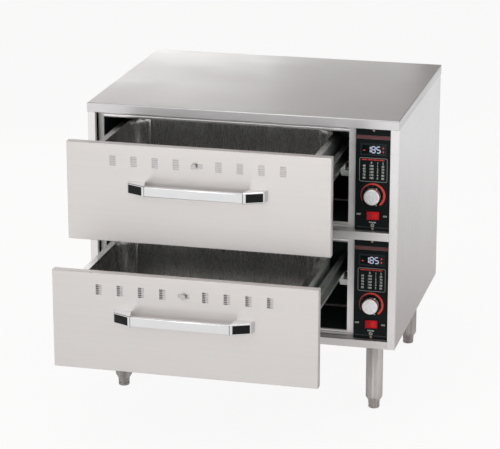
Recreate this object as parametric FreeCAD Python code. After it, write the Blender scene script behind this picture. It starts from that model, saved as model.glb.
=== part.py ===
import FreeCAD
import Part
import math
import os

# Two-drawer countertop warming cabinet on four levelling legs. Millimetres.
# Frame: +X to the right of the front, +Y to the back, +Z up. The origin is on the floor, under the middle
# of the plan box of the whole part with both drawers pulled out as they are stored.
# Each piece is built in the cabinet's own datum (X = 0 at mid width, Y = 0 at the front face, Z = 0 at the
# floor) or in a drawer's datum (X = 0 at mid width, Y = 0 at its front, Z = 0 at its lower edge) and placed.

# ---------------------------------------------------------------- cabinet shell
CABINET_WIDTH = 749.0          # over the top cover
CABINET_DEPTH = 590.0          # front face to back face
LEG_HEIGHT = 172.0             # floor to the underside of the body
FASCIA_HEIGHT = 22.5           # front, side and back turn-down of the top cover
OPENING_HEIGHT = 248.0         # clear height of each bay in the front face
MID_RAIL_HEIGHT = 20.0
BASE_RAIL_HEIGHT = 18.5
STILE_WIDTH = 19.5             # front corner post, with the cover's overhang
TOP_SHEET = 1.6
CASE_SHEET = 1.2
COVER_BEND = 2.4               # outer bend radius of the cover
STILE_RETURN = 12.0            # depth of the stile's inner return
BACK_RETURN = 15.0             # width of the side panel's return at the back
BASE_TURN_UP = 15.0

# ---------------------------------------------------------------- heated cavities
TRIM_RECESS = 25.0             # front face to the horizontal trim members
TRIM_SIDE = 12.0               # width of the upright trim members
TRIM_TOP = 16.0
TRIM_BOTTOM = 14.0
TRIM_SHEET = 1.2
TRIM_OVERLAP = 1.0             # trim frame past the drawer front's left edge
TRIM_PANEL_GAP = 1.5           # trim frame to the control panel
RAIL_BACK_MARGIN = 0.8         # rail flanges run this far past the trim frame
LINER_SHEET = 1.0
LINER_BACK_GAP = 33.0          # liner's back wall to the cabinet's back face
INSULATION = 14.0
ELEMENT_DIAMETER = 9.0
ELEMENT_HEIGHT = 16.0          # liner floor to the element's axis
ELEMENT_FRONT = 150.0          # front face to the first rod
ELEMENT_BACK_GAP = 165.0       # second rod to the liner's back wall
ELEMENT_PLATE = 24.0           # side of the square plates that hold the rods at the walls
ELEMENT_PLATE_SHEET = 2.0
SADDLE_WIDTH = 10.0
SADDLE_CLEARANCE = 0.1

# ---------------------------------------------------------------- drawer fronts
FRONT_TOP_GAP = 12.0           # drawer front's upper edge to the opening's
FRONT_DEPTH = 20.0
FRONT_SHEET = 1.2
FRONT_BEND = 1.6
FRONT_SIDE_GAP = 3.3           # stile to drawer front
CONTROL_GAP = 6.7              # drawer front to control panel
FRONT_SEAT = 5.0               # opening's lower edge to the drawer front's lower edge
UPPER_TRAVEL_LEFT = 152.6      # stored pull-out to the end of the upper drawer's travel
LOWER_TRAVEL_LEFT = 30.6

# ---------------------------------------------------------------- moisture vents
VENT_GROUPS_PER_SIDE = 4
VENT_PITCH = 49.6
VENT_ROWS = 6
VENT_ROW_PITCH = 4.2
VENT_SLOT_WIDTH = 14.0
VENT_SLOT_HEIGHT = 2.4
VENT_DROP = 38.7               # drawer front's top edge to the vents' centre line
VENT_TRAVEL = 14.0
VENT_PLATE_SHEET = 1.2
VENT_PLATE_HEIGHT = 36.0
VENT_PLATE_END = 12.0          # plate past its last slot
VENT_PLAY = 0.3
VENT_GUIDE_FOOT = 8.0
VENT_GUIDE_LIP = 4.0
VENT_GUIDE_SHEET = 1.2
VENT_KNOB_SLOT = (26.0, 9.0)
VENT_SHANK_RADIUS = 3.0
VENT_HEAD_RADIUS = 6.2
VENT_HEAD_GAP = 1.0
VENT_HEAD_LENGTH = 8.0
VENT_WINDOW = (24.0, 32.0)
UPPER_VENT_POSITION = 0.0      # 0 is shut, VENT_TRAVEL is open
LOWER_VENT_POSITION = 7.0

# ---------------------------------------------------------------- pans and carriers
PAN_SIDE_GAP = 7.0             # pan's rim to the drawer rails
PAN_LENGTH = 324.0
PAN_DEPTH = 150.0
PAN_SHEET = 1.0
PAN_RIM = 14.0
PAN_RIM_LIP = 5.0
PAN_RIM_CORNER = 16.0
PAN_CORNER = 42.0
PAN_DRAFT = 9.0                # inset of the pan's floor, each side
PAN_FLOOR_EASE = 12.0          # height and reach of the eased floor edge
PAN_DROP = 22.5                # drawer front's top edge to the pan's rim
PAN_FRONT_GAP = 6.0
CARRIER_SHEET = 1.2
CARRIER_HEIGHT = 50.0
CARRIER_CLEARANCE = 1.0        # pan lip to the carrier's wall
CARRIER_CORNER = 12.0
CARRIER_REAR_FLANGE = 14.0

# ---------------------------------------------------------------- drawer slides
RAIL_SHEET = 1.5
RAIL_INSET = 36.0              # drawer front's edge to the rail web's outer face
RAIL_LIP = 12.5
RAIL_TOP_DROP = 52.0           # drawer front's top edge to the rail's top
RAIL_LIP_DROP = 85.0           # to the underside of the running lip
RAIL_SKIRT_DROP = 110.5
RAIL_BACK_GAP = 70.0           # rails' ends to the liner's back wall, front face level with the cabinet's
RAIL_TAB = 22.0
CHANNEL_WIDTH = 19.5
CHANNEL_SHEET = 1.5
CHANNEL_LIP_GAP = 1.0          # running lip to the fixed channel's top
CHANNEL_BACK_GAP = 8.0
MOUTH_ROLLER_RADIUS = 12.7
REAR_ROLLER_RADIUS = 11.0
ROLLER_WIDTH = 11.0
ROLLER_GAP = 0.3               # roller to the face it runs on
ROLLER_PIN_RADIUS = 3.0
ROLLER_BORE_CLEARANCE = 0.05
PIN_END_GAP = 1.5              # a roller pin's free end to the web across from it
MOUTH_ROLLER_SETBACK = 47.0    # front face to the mouth rollers' axis
REAR_ROLLER_END = 16.0         # rail's end to the rear rollers' axis
MOUTH_GUARD_GAP = 2.0
ROLLER_WEB_GAP = 2.5           # rail web to the rollers' near face

# ---------------------------------------------------------------- handles
HANDLE_DROP = 96.5             # drawer front's top edge to the handle's centre line
HANDLE_LENGTH = 328.0
BRACKET_LENGTH = 49.0
BAR_HEIGHT = 23.0
BAR_THICKNESS = 9.0
BAR_EDGE = 2.4                 # radius of the bar's long edges
HANDLE_STANDOFF = 38.0         # drawer front to the bar's outer face
BRACKET_HEIGHT = 26.0
BRACKET_OUTER_DEPTH = 18.0     # drawer front to the bracket's outer corner
BRACKET_SIDE_SLOPE = 5.0
BRACKET_INNER_SLOPE = 8.0
BRACKET_EDGE = 1.4
INLAY_LENGTH = 39.5
INLAY_HEIGHT = 19.5
INLAY_END = 2.0                # slanted face's outer corner to the inlay's pocket
INLAY_DEPTH = 1.2
INLAY_MARGIN = 0.15

# ---------------------------------------------------------------- controls
CONTROL_WIDTH = 84.0
CONTROL_RECESS = 14.0
CONTROL_SHEET = 1.5
CONTROL_FLANGE = 13.0
DISPLAY_DROP = 51.5            # opening's upper edge to the display's centre
DISPLAY_SIZE = (63.0, 29.5)
DISPLAY_FLANGE = 2.5
DISPLAY_PROUD = 1.6
DISPLAY_BODY = 14.0
DIAL_DROP = 162.0
KNOB_RADIUS = 20.5
KNOB_TOP_RADIUS = 19.3
KNOB_LENGTH = 18.0
KNOB_GAP = 1.0
KNOB_SKIRT = 3.5
KNOB_POINTER = (3.2, 1.6)      # width, and reach past the skirt
KNOB_POINTER_ANGLE = 28.0      # clockwise from the top, seen from the front
SPINDLE_RADIUS = 3.0
SPINDLE_CLEARANCE = 0.05
SPINDLE_SEAT_CLEARANCE = 0.02
SPINDLE_IN_KNOB = 12.0
SPINDLE_DEPTH = 12.0           # panel front to the spindle's inner end
BUSH_RADIUS = 4.8
BUSH_PROUD = 0.6
THERMOSTAT_SIDE = 40.0
THERMOSTAT_DEPTH = 28.0
SWITCH_DROP = 210.5
SWITCH_BEZEL = (37.0, 25.0)
SWITCH_BODY = (33.0, 23.0)
SWITCH_BODY_DEPTH = 20.0
SWITCH_PROUD = 2.0
ROCKER_SIZE = (29.0, 19.0)
ROCKER_THICKNESS = 8.0
ROCKER_SIDE_GAP = 1.2
ROCKER_END_GAP = 0.35
ROCKER_VALLEY = 2.0            # panel front to the middle of the rocker
ROCKER_HORN = 4.0              # panel front to the rocker's ends, level
ROCKER_TILT = 8.0              # degrees either way
ROCKER_PIVOT_DEPTH = 2.5       # panel front to the pivot's axis
ROCKER_PIN_RADIUS = 1.5
ROCKER_PIN_REACH = 1.2
ROCKER_PIN_CLEARANCE = 0.05
CUTOUT_CLEARANCE = 0.2

# ---------------------------------------------------------------- legs and cord gland
LEG_RADIUS = 20.3
LEG_INSET = 60.0               # cabinet's sides to the legs' axes
LEG_SETBACK = 62.0             # front and back faces to the legs' axes
LEG_TAPER_LENGTH = 9.0
LEG_TIP_WALL = 1.4
LEG_GUIDE = 66.0               # depth of the bore that guides the foot
FOOT_RADIUS = 13.75
FOOT_SHOWING = 20.5
FOOT_ENGAGED = 37.5            # length of the foot inside its leg
FOOT_CLEARANCE = 0.08
GLAND_DROP = 70.0              # body's underside to the gland's axis
GLAND_BARREL_RADIUS = 14.0
GLAND_CLEARANCE = 0.3          # barrel in the back panel's hole
GLAND_FLANGE_RADIUS = 18.0
GLAND_FLANGE = 3.5
GLAND_NOSE = 14.0
GLAND_NOSE_RADIUS = 8.5
GLAND_INSIDE = 9.0
GLAND_BORE_RADIUS = 5.0

# ---------------------------------------------------------------- derived places
HALF_WIDTH = CABINET_WIDTH / 2
SIDE_FACE = HALF_WIDTH - TOP_SHEET
STILE_EDGE = HALF_WIDTH - STILE_WIDTH
BODY_Z = LEG_HEIGHT
LOWER_BAY_Z = BODY_Z + BASE_RAIL_HEIGHT
UPPER_BAY_Z = LOWER_BAY_Z + OPENING_HEIGHT + MID_RAIL_HEIGHT
FASCIA_Z = UPPER_BAY_Z + OPENING_HEIGHT
TOP_Z = FASCIA_Z + FASCIA_HEIGHT
FRONT_HEIGHT = OPENING_HEIGHT - FRONT_SEAT - FRONT_TOP_GAP
FRONT_WIDTH = 2 * STILE_EDGE - CONTROL_WIDTH - CONTROL_GAP - FRONT_SIDE_GAP
DRAWER_X = -STILE_EDGE + FRONT_SIDE_GAP + FRONT_WIDTH / 2
LINER_BACK = CABINET_DEPTH - LINER_BACK_GAP
RAIL_LENGTH = LINER_BACK - FRONT_DEPTH - RAIL_BACK_GAP
PAN_WIDTH = FRONT_WIDTH - 2 * (RAIL_INSET + RAIL_SHEET + PAN_SIDE_GAP)
BAR_LENGTH = HANDLE_LENGTH - 2 * BRACKET_LENGTH
TRIM_BACK = TRIM_RECESS + TRIM_SHEET
RAIL_DEPTH = TRIM_BACK + RAIL_BACK_MARGIN
TRIM_HALF = FRONT_WIDTH / 2 + TRIM_OVERLAP
LINER_HALF = TRIM_HALF - TRIM_SIDE
FRONT_HALF = FRONT_WIDTH / 2
WEB_FACE = FRONT_HALF - RAIL_INSET
CONTROL_LEFT = STILE_EDGE - CONTROL_WIDTH
CONTROL_X = STILE_EDGE - CONTROL_WIDTH / 2
LIP_Z = FRONT_HEIGHT - RAIL_LIP_DROP
MOUTH_ROLLER_Z = LIP_Z - ROLLER_GAP - MOUTH_ROLLER_RADIUS
CHANNEL_TOP_Z = LIP_Z - CHANNEL_LIP_GAP
REAR_ROLLER_Z = CHANNEL_TOP_Z - CHANNEL_SHEET - ROLLER_GAP - REAR_ROLLER_RADIUS
CHANNEL_BOTTOM_Z = REAR_ROLLER_Z - REAR_ROLLER_RADIUS - ROLLER_GAP - CHANNEL_SHEET
REAR_ROLLER_Y = FRONT_DEPTH + RAIL_LENGTH - REAR_ROLLER_END
FULL_EXTENSION = REAR_ROLLER_Y - MOUTH_ROLLER_SETBACK - 2 * (MOUTH_ROLLER_RADIUS + REAR_ROLLER_RADIUS)
UPPER_EXTENSION = FULL_EXTENSION - UPPER_TRAVEL_LEFT
LOWER_EXTENSION = FULL_EXTENSION - LOWER_TRAVEL_LEFT
RIM_Z = FRONT_HEIGHT - PAN_DROP
CARRIER_Z = RIM_Z - PAN_SHEET - CARRIER_HEIGHT
PAN_FRONT = FRONT_DEPTH + PAN_FRONT_GAP
VENT_Z = FRONT_HEIGHT - VENT_DROP
HANDLE_Z = FRONT_HEIGHT - HANDLE_DROP
GLAND_REACH = GLAND_FLANGE + GLAND_NOSE
FRONT_REACH = max(UPPER_EXTENSION, LOWER_EXTENSION) + HANDLE_STANDOFF
ORIGIN_Y = (CABINET_DEPTH + GLAND_REACH - FRONT_REACH) / 2

X_AXIS = FreeCAD.Vector(1, 0, 0)
Y_AXIS = FreeCAD.Vector(0, 1, 0)
Z_AXIS = FreeCAD.Vector(0, 0, 1)


# ---------------------------------------------------------------- shape helpers
def block(x0, x1, y0, y1, z0, z1):
    """Box between two corners."""
    return Part.makeBox(x1 - x0, y1 - y0, z1 - z0, FreeCAD.Vector(x0, y0, z0))


def fused(shapes):
    """One clean solid from pieces that are welded or folded together."""
    return shapes[0].fuse(shapes[1:]).removeSplitter()


def thickened(path, thickness):
    """Closed outline of an open path that is given a thickness on its left."""
    normals = []
    for (ax, ay), (bx, by) in zip(path, path[1:]):
        length = math.hypot(bx - ax, by - ay)
        normals.append((-(by - ay) / length, (bx - ax) / length))
    far_side = []
    for index, (x, y) in enumerate(path):
        before = normals[max(index - 1, 0)]
        after = normals[min(index, len(normals) - 1)]
        scale = thickness / (1 + before[0] * after[0] + before[1] * after[1])
        far_side.append((x + (before[0] + after[0]) * scale, y + (before[1] + after[1]) * scale))
    return path + far_side[::-1]


def prism(outline, plane, low, high):
    """Extrudes an outline drawn in the XY, XZ or YZ plane between two places along that plane's normal."""
    place = {
        "XY": lambda a, b: FreeCAD.Vector(a, b, low),
        "XZ": lambda a, b: FreeCAD.Vector(a, low, b),
        "YZ": lambda a, b: FreeCAD.Vector(low, a, b),
    }[plane]
    direction = {"XY": Z_AXIS, "XZ": Y_AXIS, "YZ": X_AXIS}[plane]
    points = [place(a, b) for a, b in outline]
    face = Part.Face(Part.makePolygon(points + points[:1]))
    return face.extrude(direction * (high - low))


def turned(profile, axis, centre):
    """Revolves (radius, distance along the axis) points about an axis through a centre."""
    across = X_AXIS if axis.x == 0 else Y_AXIS
    points = [centre + across * radius + axis * along for radius, along in profile]
    face = Part.Face(Part.makePolygon(points + points[:1]))
    return face.revolve(centre, axis, 360)


def rounded_wire(half_x, half_y, radius, centre_y, z):
    """Rectangle with round corners, about X = 0."""
    quarter = radius * (1 - math.sqrt(0.5))
    edges = []
    corners = [(1, -1), (1, 1), (-1, 1), (-1, -1)]
    for index, (sx, sy) in enumerate(corners):
        along_x = FreeCAD.Vector(sx * (half_x - radius), centre_y + sy * half_y, z)
        along_y = FreeCAD.Vector(sx * half_x, centre_y + sy * (half_y - radius), z)
        middle = FreeCAD.Vector(sx * (half_x - quarter), centre_y + sy * (half_y - quarter), z)
        start, end = (along_x, along_y) if index % 2 == 0 else (along_y, along_x)
        edges.append((start, middle, end))
    parts = []
    for index, (start, middle, end) in enumerate(edges):
        parts.append(Part.Arc(start, middle, end).toShape())
        parts.append(Part.LineSegment(end, edges[(index + 1) % len(edges)][0]).toShape())
    return Part.Wire(parts)


def rounded_plate(half_x, half_y, radius, centre_y, z0, z1):
    """Flat plate with round corners."""
    face = Part.Face(rounded_wire(half_x, half_y, radius, centre_y, z0))
    return face.extrude(Z_AXIS * (z1 - z0))


def edges_where(shape, test):
    """Edges whose middle point passes a test."""
    chosen = []
    for edge in shape.Edges:
        middle = edge.valueAt((edge.FirstParameter + edge.LastParameter) / 2)
        if test(middle):
            chosen.append(edge)
    return chosen


def both_sides(shape):
    """A right-hand piece and its mirror image on the left, as one group of two solids."""
    return Part.makeCompound([shape, shape.mirror(FreeCAD.Vector(0, 0, 0), X_AXIS)])


# ---------------------------------------------------------------- cabinet shell
def make_top_cover():
    """Folded cover: flat top with a turn-down all round and a return under the front fascia."""
    outer = block(-HALF_WIDTH, HALF_WIDTH, 0, CABINET_DEPTH, FASCIA_Z, TOP_Z)
    outer = outer.makeFillet(COVER_BEND, edges_where(outer, lambda m: m.z > TOP_Z - TOP_SHEET))
    hollow = block(-HALF_WIDTH + TOP_SHEET, HALF_WIDTH - TOP_SHEET,
                   TOP_SHEET, CABINET_DEPTH - TOP_SHEET, FASCIA_Z, TOP_Z - TOP_SHEET)
    front_return = block(-STILE_EDGE, STILE_EDGE, 0, RAIL_DEPTH, FASCIA_Z, FASCIA_Z + TOP_SHEET)
    return fused([outer.cut(hollow), front_return])


def make_side_panel(side):
    """Side sheet folded round the front corner as the stile, with a return at the back."""
    back_face = CABINET_DEPTH - CASE_SHEET
    path = [
        (STILE_EDGE, STILE_RETURN),
        (STILE_EDGE, 0),
        (SIDE_FACE, 0),
        (SIDE_FACE, back_face),
        (SIDE_FACE - BACK_RETURN, back_face),
    ]
    lower = prism(thickened(path, CASE_SHEET), "XY", BODY_Z, FASCIA_Z)
    upper = block(SIDE_FACE - CASE_SHEET, SIDE_FACE, TOP_SHEET, CABINET_DEPTH - TOP_SHEET,
                  FASCIA_Z, TOP_Z - TOP_SHEET)
    panel = fused([lower, upper])
    return panel if side > 0 else panel.mirror(FreeCAD.Vector(0, 0, 0), X_AXIS)


def make_base_panel():
    """Floor of the cabinet, folded up as the bottom front rail, with turn-ups at the sides and back."""
    inner_half = SIDE_FACE - CASE_SHEET
    back_face = CABINET_DEPTH - 2 * CASE_SHEET
    floor = [
        block(-STILE_EDGE, STILE_EDGE, 0, STILE_RETURN, BODY_Z, BODY_Z + CASE_SHEET),
        block(-inner_half, inner_half, STILE_RETURN, back_face, BODY_Z, BODY_Z + CASE_SHEET),
    ]
    rail = block(-STILE_EDGE, STILE_EDGE, 0, CASE_SHEET, BODY_Z, LOWER_BAY_Z)
    rail_top = block(-STILE_EDGE, STILE_EDGE, 0, RAIL_DEPTH, LOWER_BAY_Z - CASE_SHEET, LOWER_BAY_Z)
    turn_ups = [
        block(-inner_half, -inner_half + CASE_SHEET, RAIL_DEPTH, back_face, BODY_Z, BODY_Z + BASE_TURN_UP),
        block(inner_half - CASE_SHEET, inner_half, RAIL_DEPTH, back_face, BODY_Z, BODY_Z + BASE_TURN_UP),
        block(-inner_half, inner_half, back_face - CASE_SHEET, back_face, BODY_Z, BODY_Z + BASE_TURN_UP),
    ]
    return fused(floor + [rail, rail_top] + turn_ups)


def make_mid_rail():
    """Channel across the front face between the two bays."""
    top = UPPER_BAY_Z
    bottom = UPPER_BAY_Z - MID_RAIL_HEIGHT
    path = [(RAIL_DEPTH, top), (0, top), (0, bottom), (RAIL_DEPTH, bottom)]
    return prism(thickened(path, CASE_SHEET), "YZ", -STILE_EDGE, STILE_EDGE)


def gland_place():
    """Centre of the cord gland on the back panel's outer face."""
    return FreeCAD.Vector(CONTROL_X, CABINET_DEPTH, BODY_Z + GLAND_DROP)


def make_back_panel():
    """Flat removable back, with the hole for the cord gland."""
    sheet = block(-SIDE_FACE, SIDE_FACE, CABINET_DEPTH - CASE_SHEET, CABINET_DEPTH, BODY_Z, FASCIA_Z)
    through = 2 * CASE_SHEET
    radius = GLAND_BARREL_RADIUS + GLAND_CLEARANCE
    hole = Part.makeCylinder(radius, 2 * through, gland_place() - Y_AXIS * through, Y_AXIS)
    return sheet.cut(hole)


def make_cord_gland():
    """Strain-relief bushing that clips into the back panel."""
    profile = [
        (GLAND_BORE_RADIUS, -GLAND_INSIDE),
        (GLAND_BARREL_RADIUS, -GLAND_INSIDE),
        (GLAND_BARREL_RADIUS, 0),
        (GLAND_FLANGE_RADIUS, 0),
        (GLAND_FLANGE_RADIUS, GLAND_FLANGE),
        (GLAND_NOSE_RADIUS, GLAND_FLANGE),
        (GLAND_NOSE_RADIUS, GLAND_REACH),
        (GLAND_BORE_RADIUS, GLAND_REACH),
    ]
    return turned(profile, Y_AXIS, gland_place())


# ---------------------------------------------------------------- one heated bay
def make_trim_frame(bay_z):
    """Frame round the mouth of a cavity: uprights lap the front of the two cross members."""
    outer = (DRAWER_X - TRIM_HALF, CONTROL_LEFT - TRIM_PANEL_GAP)
    inner = (DRAWER_X - LINER_HALF, DRAWER_X + LINER_HALF)
    top = bay_z + OPENING_HEIGHT
    members = [
        block(*outer, TRIM_RECESS, TRIM_BACK, bay_z, bay_z + TRIM_BOTTOM),
        block(*outer, TRIM_RECESS, TRIM_BACK, top - TRIM_TOP, top),
        block(outer[0], inner[0], TRIM_RECESS - TRIM_SHEET, TRIM_BACK, bay_z, top),
        block(inner[1], outer[1], TRIM_RECESS - TRIM_SHEET, TRIM_BACK, bay_z, top),
    ]
    return fused(members)


def make_liner(bay_z):
    """Five-sided cavity liner welded to the back of its trim frame, with saddles under the heating rods."""
    floor = bay_z + TRIM_BOTTOM
    roof = bay_z + OPENING_HEIGHT - TRIM_TOP
    left = DRAWER_X - LINER_HALF
    right = DRAWER_X + LINER_HALF
    wall = LINER_SHEET
    shell = block(left - wall, right + wall, TRIM_BACK, LINER_BACK, floor - wall, roof + wall)
    shell = shell.cut(block(left, right, TRIM_BACK, LINER_BACK - wall, floor, roof))
    saddles = []
    saddle_top = floor + ELEMENT_HEIGHT - ELEMENT_DIAMETER / 2 - SADDLE_CLEARANCE
    for run_y in (ELEMENT_FRONT, LINER_BACK - ELEMENT_BACK_GAP):
        for saddle_x in (DRAWER_X - LINER_HALF / 2, DRAWER_X + LINER_HALF / 2):
            saddles.append(block(saddle_x - SADDLE_WIDTH / 2, saddle_x + SADDLE_WIDTH / 2,
                                 run_y - SADDLE_WIDTH / 2, run_y + SADDLE_WIDTH / 2, floor, saddle_top))
    return fused([shell] + saddles)


def make_insulation():
    """Batts wrapped round the outside of both liners, one solid for each."""
    wraps = []
    for bay_z in (LOWER_BAY_Z, UPPER_BAY_Z):
        floor = bay_z + TRIM_BOTTOM - LINER_SHEET
        roof = bay_z + OPENING_HEIGHT - TRIM_TOP + LINER_SHEET
        left = DRAWER_X - LINER_HALF - LINER_SHEET
        right = DRAWER_X + LINER_HALF + LINER_SHEET
        wrap = block(left - INSULATION, right + INSULATION, RAIL_DEPTH, LINER_BACK + INSULATION,
                     floor - min(INSULATION, TRIM_BOTTOM), roof + INSULATION)
        wraps.append(wrap.cut(block(left, right, RAIL_DEPTH, LINER_BACK, floor, roof)))
    return Part.makeCompound(wraps)


def make_elements(bay_z):
    """Two sheathed heating rods across the cavity floor, held at both walls by square plates."""
    z = bay_z + TRIM_BOTTOM + ELEMENT_HEIGHT
    half = ELEMENT_PLATE / 2
    rods = []
    for run_y in (ELEMENT_FRONT, LINER_BACK - ELEMENT_BACK_GAP):
        pieces = [Part.makeCylinder(ELEMENT_DIAMETER / 2, 2 * LINER_HALF,
                                    FreeCAD.Vector(DRAWER_X - LINER_HALF, run_y, z), X_AXIS)]
        for wall_x in (DRAWER_X - LINER_HALF, DRAWER_X + LINER_HALF - ELEMENT_PLATE_SHEET):
            pieces.append(block(wall_x, wall_x + ELEMENT_PLATE_SHEET, run_y - half, run_y + half,
                                z - half, z + half))
        rods.append(fused(pieces))
    return Part.makeCompound(rods)


def roller_middle():
    """Distance from a drawer's mid plane to the middle of its rollers."""
    return WEB_FACE + ROLLER_WEB_GAP + ROLLER_WIDTH / 2


def make_rollers(radius):
    """Left and right nylon rollers about one axis along X, at the origin."""
    start = X_AXIS * (roller_middle() - ROLLER_WIDTH / 2)
    tread = Part.makeCylinder(radius, ROLLER_WIDTH, start, X_AXIS)
    bore = Part.makeCylinder(ROLLER_PIN_RADIUS + ROLLER_BORE_CLEARANCE, ROLLER_WIDTH, start, X_AXIS)
    return both_sides(tread.cut(bore))


def mouth_roller_place(seat_z):
    """Middle of the axis of the rollers at the mouth of a bay; seat_z is the drawer front's lower edge."""
    return FreeCAD.Vector(DRAWER_X, MOUTH_ROLLER_SETBACK, seat_z + MOUTH_ROLLER_Z)


def make_slide_channels(seat_z):
    """Fixed channels on the liner's walls, each with the pin and guard of its mouth roller."""
    near = LINER_HALF - CHANNEL_WIDTH
    front = MOUTH_ROLLER_SETBACK + MOUTH_ROLLER_RADIUS + MOUTH_GUARD_GAP
    back = LINER_BACK - LINER_SHEET - CHANNEL_BACK_GAP
    mouth = MOUTH_ROLLER_SETBACK - MOUTH_ROLLER_RADIUS - MOUTH_GUARD_GAP
    web = LINER_HALF - CHANNEL_SHEET
    path = [(near, CHANNEL_BOTTOM_Z), (LINER_HALF, CHANNEL_BOTTOM_Z),
            (LINER_HALF, CHANNEL_TOP_Z), (near, CHANNEL_TOP_Z)]
    channel = prism(thickened(path, CHANNEL_SHEET), "XZ", front, back)
    tongue = block(web, LINER_HALF, mouth, front, CHANNEL_BOTTOM_Z, CHANNEL_TOP_Z)
    guard = block(near, LINER_HALF, mouth - CHANNEL_SHEET, mouth, CHANNEL_BOTTOM_Z, MOUTH_ROLLER_Z)
    pin_end = WEB_FACE + PIN_END_GAP
    pin = Part.makeCylinder(ROLLER_PIN_RADIUS, web - pin_end,
                            FreeCAD.Vector(pin_end, MOUTH_ROLLER_SETBACK, MOUTH_ROLLER_Z), X_AXIS)
    pair = both_sides(fused([channel, tongue, guard, pin]))
    return pair.translated(FreeCAD.Vector(DRAWER_X, 0, seat_z))


# ---------------------------------------------------------------- controls of one bay
def panel_point(bay_z, drop):
    """Point on the front of a control panel, on its centre line, below the bay's upper edge."""
    return FreeCAD.Vector(CONTROL_X, CONTROL_RECESS, bay_z + OPENING_HEIGHT - drop)


def upright_block(centre, width, height, front, back):
    """Box centred on a point of the control panel, from front to back distances past the panel's face."""
    return block(centre.x - width / 2, centre.x + width / 2, centre.y + front, centre.y + back,
                 centre.z - height / 2, centre.z + height / 2)


def make_control_panel(bay_z):
    """Black control panel with its flanges and the cut-outs for display, dial and switch."""
    top = bay_z + OPENING_HEIGHT
    deep = CONTROL_RECESS + CONTROL_FLANGE
    path = [(deep, top), (CONTROL_RECESS, top), (CONTROL_RECESS, bay_z), (deep, bay_z)]
    panel = prism(thickened(path, CONTROL_SHEET), "YZ", CONTROL_LEFT, STILE_EDGE)
    through = 2 * CONTROL_SHEET
    window_width = DISPLAY_SIZE[0] - 2 * DISPLAY_FLANGE + 2 * CUTOUT_CLEARANCE
    window_height = DISPLAY_SIZE[1] - 2 * DISPLAY_FLANGE + 2 * CUTOUT_CLEARANCE
    cuts = [
        upright_block(panel_point(bay_z, DISPLAY_DROP), window_width, window_height, -through, through),
        upright_block(panel_point(bay_z, SWITCH_DROP), SWITCH_BODY[0] + 2 * CUTOUT_CLEARANCE,
                      SWITCH_BODY[1] + 2 * CUTOUT_CLEARANCE, -through, through),
        Part.makeCylinder(BUSH_RADIUS + CUTOUT_CLEARANCE, 2 * through,
                          panel_point(bay_z, DIAL_DROP) - Y_AXIS * through, Y_AXIS),
    ]
    return panel.cut(cuts)


def bezel_block(centre, width, height, proud):
    """Raised rectangular bezel with bevelled front edges."""
    bezel = upright_block(centre, width, height, -proud, 0)
    front_edges = edges_where(bezel, lambda m: m.y < centre.y - proud * 3 / 4)
    return bezel.makeChamfer(proud / 2, front_edges)


def make_display(bay_z):
    """Temperature display module: bezel on the panel's face and body behind it."""
    centre = panel_point(bay_z, DISPLAY_DROP)
    width, height = DISPLAY_SIZE
    bezel = bezel_block(centre, width, height, DISPLAY_PROUD)
    body = upright_block(centre, width - 2 * DISPLAY_FLANGE, height - 2 * DISPLAY_FLANGE,
                         -DISPLAY_PROUD / 2, DISPLAY_BODY)
    return fused([bezel, body])


def make_thermostats():
    """Capillary thermostat bodies behind the panels, each with its bush through the panel."""
    bodies = []
    for bay_z in (UPPER_BAY_Z, LOWER_BAY_Z):
        centre = panel_point(bay_z, DIAL_DROP)
        body = upright_block(centre, THERMOSTAT_SIDE, THERMOSTAT_SIDE, CONTROL_SHEET,
                             CONTROL_SHEET + THERMOSTAT_DEPTH)
        front = centre - Y_AXIS * BUSH_PROUD
        bush = Part.makeCylinder(BUSH_RADIUS, CONTROL_SHEET + BUSH_PROUD, front, Y_AXIS)
        bore = Part.makeCylinder(SPINDLE_RADIUS + SPINDLE_CLEARANCE, BUSH_PROUD + SPINDLE_DEPTH + KNOB_GAP,
                                 front, Y_AXIS)
        bodies.append(fused([body, bush]).cut(bore))
    return Part.makeCompound(bodies)


def make_spindle(bay_z):
    """Thermostat spindle, turning in the bush and pressed into the knob."""
    centre = panel_point(bay_z, DIAL_DROP)
    start = centre - Y_AXIS * (KNOB_GAP + SPINDLE_IN_KNOB)
    return Part.makeCylinder(SPINDLE_RADIUS, KNOB_GAP + SPINDLE_IN_KNOB + SPINDLE_DEPTH, start, Y_AXIS)


def make_knob(bay_z):
    """Turned dial knob with a skirt, a raised grip and a pointer."""
    centre = panel_point(bay_z, DIAL_DROP)
    front = -(KNOB_GAP + KNOB_LENGTH)
    bore = SPINDLE_RADIUS + SPINDLE_SEAT_CLEARANCE
    seat = -(KNOB_GAP + SPINDLE_IN_KNOB)
    profile = [
        (bore, -KNOB_GAP),
        (KNOB_RADIUS, -KNOB_GAP),
        (KNOB_RADIUS, -KNOB_GAP - KNOB_SKIRT),
        (KNOB_TOP_RADIUS, -KNOB_GAP - KNOB_SKIRT),
        (KNOB_TOP_RADIUS, front),
        (0, front),
        (0, seat),
        (bore, seat),
    ]
    knob = turned(profile, Y_AXIS, centre)
    width, reach = KNOB_POINTER
    pointer = block(centre.x - width / 2, centre.x + width / 2, centre.y - KNOB_GAP - KNOB_SKIRT,
                    centre.y - KNOB_GAP, centre.z + KNOB_TOP_RADIUS, centre.z + KNOB_RADIUS + reach)
    pointer.rotate(centre, Y_AXIS, KNOB_POINTER_ANGLE)
    return fused([knob, pointer])


def rocker_place(bay_z):
    """Pivot axis of a rocker, upright behind the panel's face."""
    return panel_point(bay_z, SWITCH_DROP) + Y_AXIS * ROCKER_PIVOT_DEPTH


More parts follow.
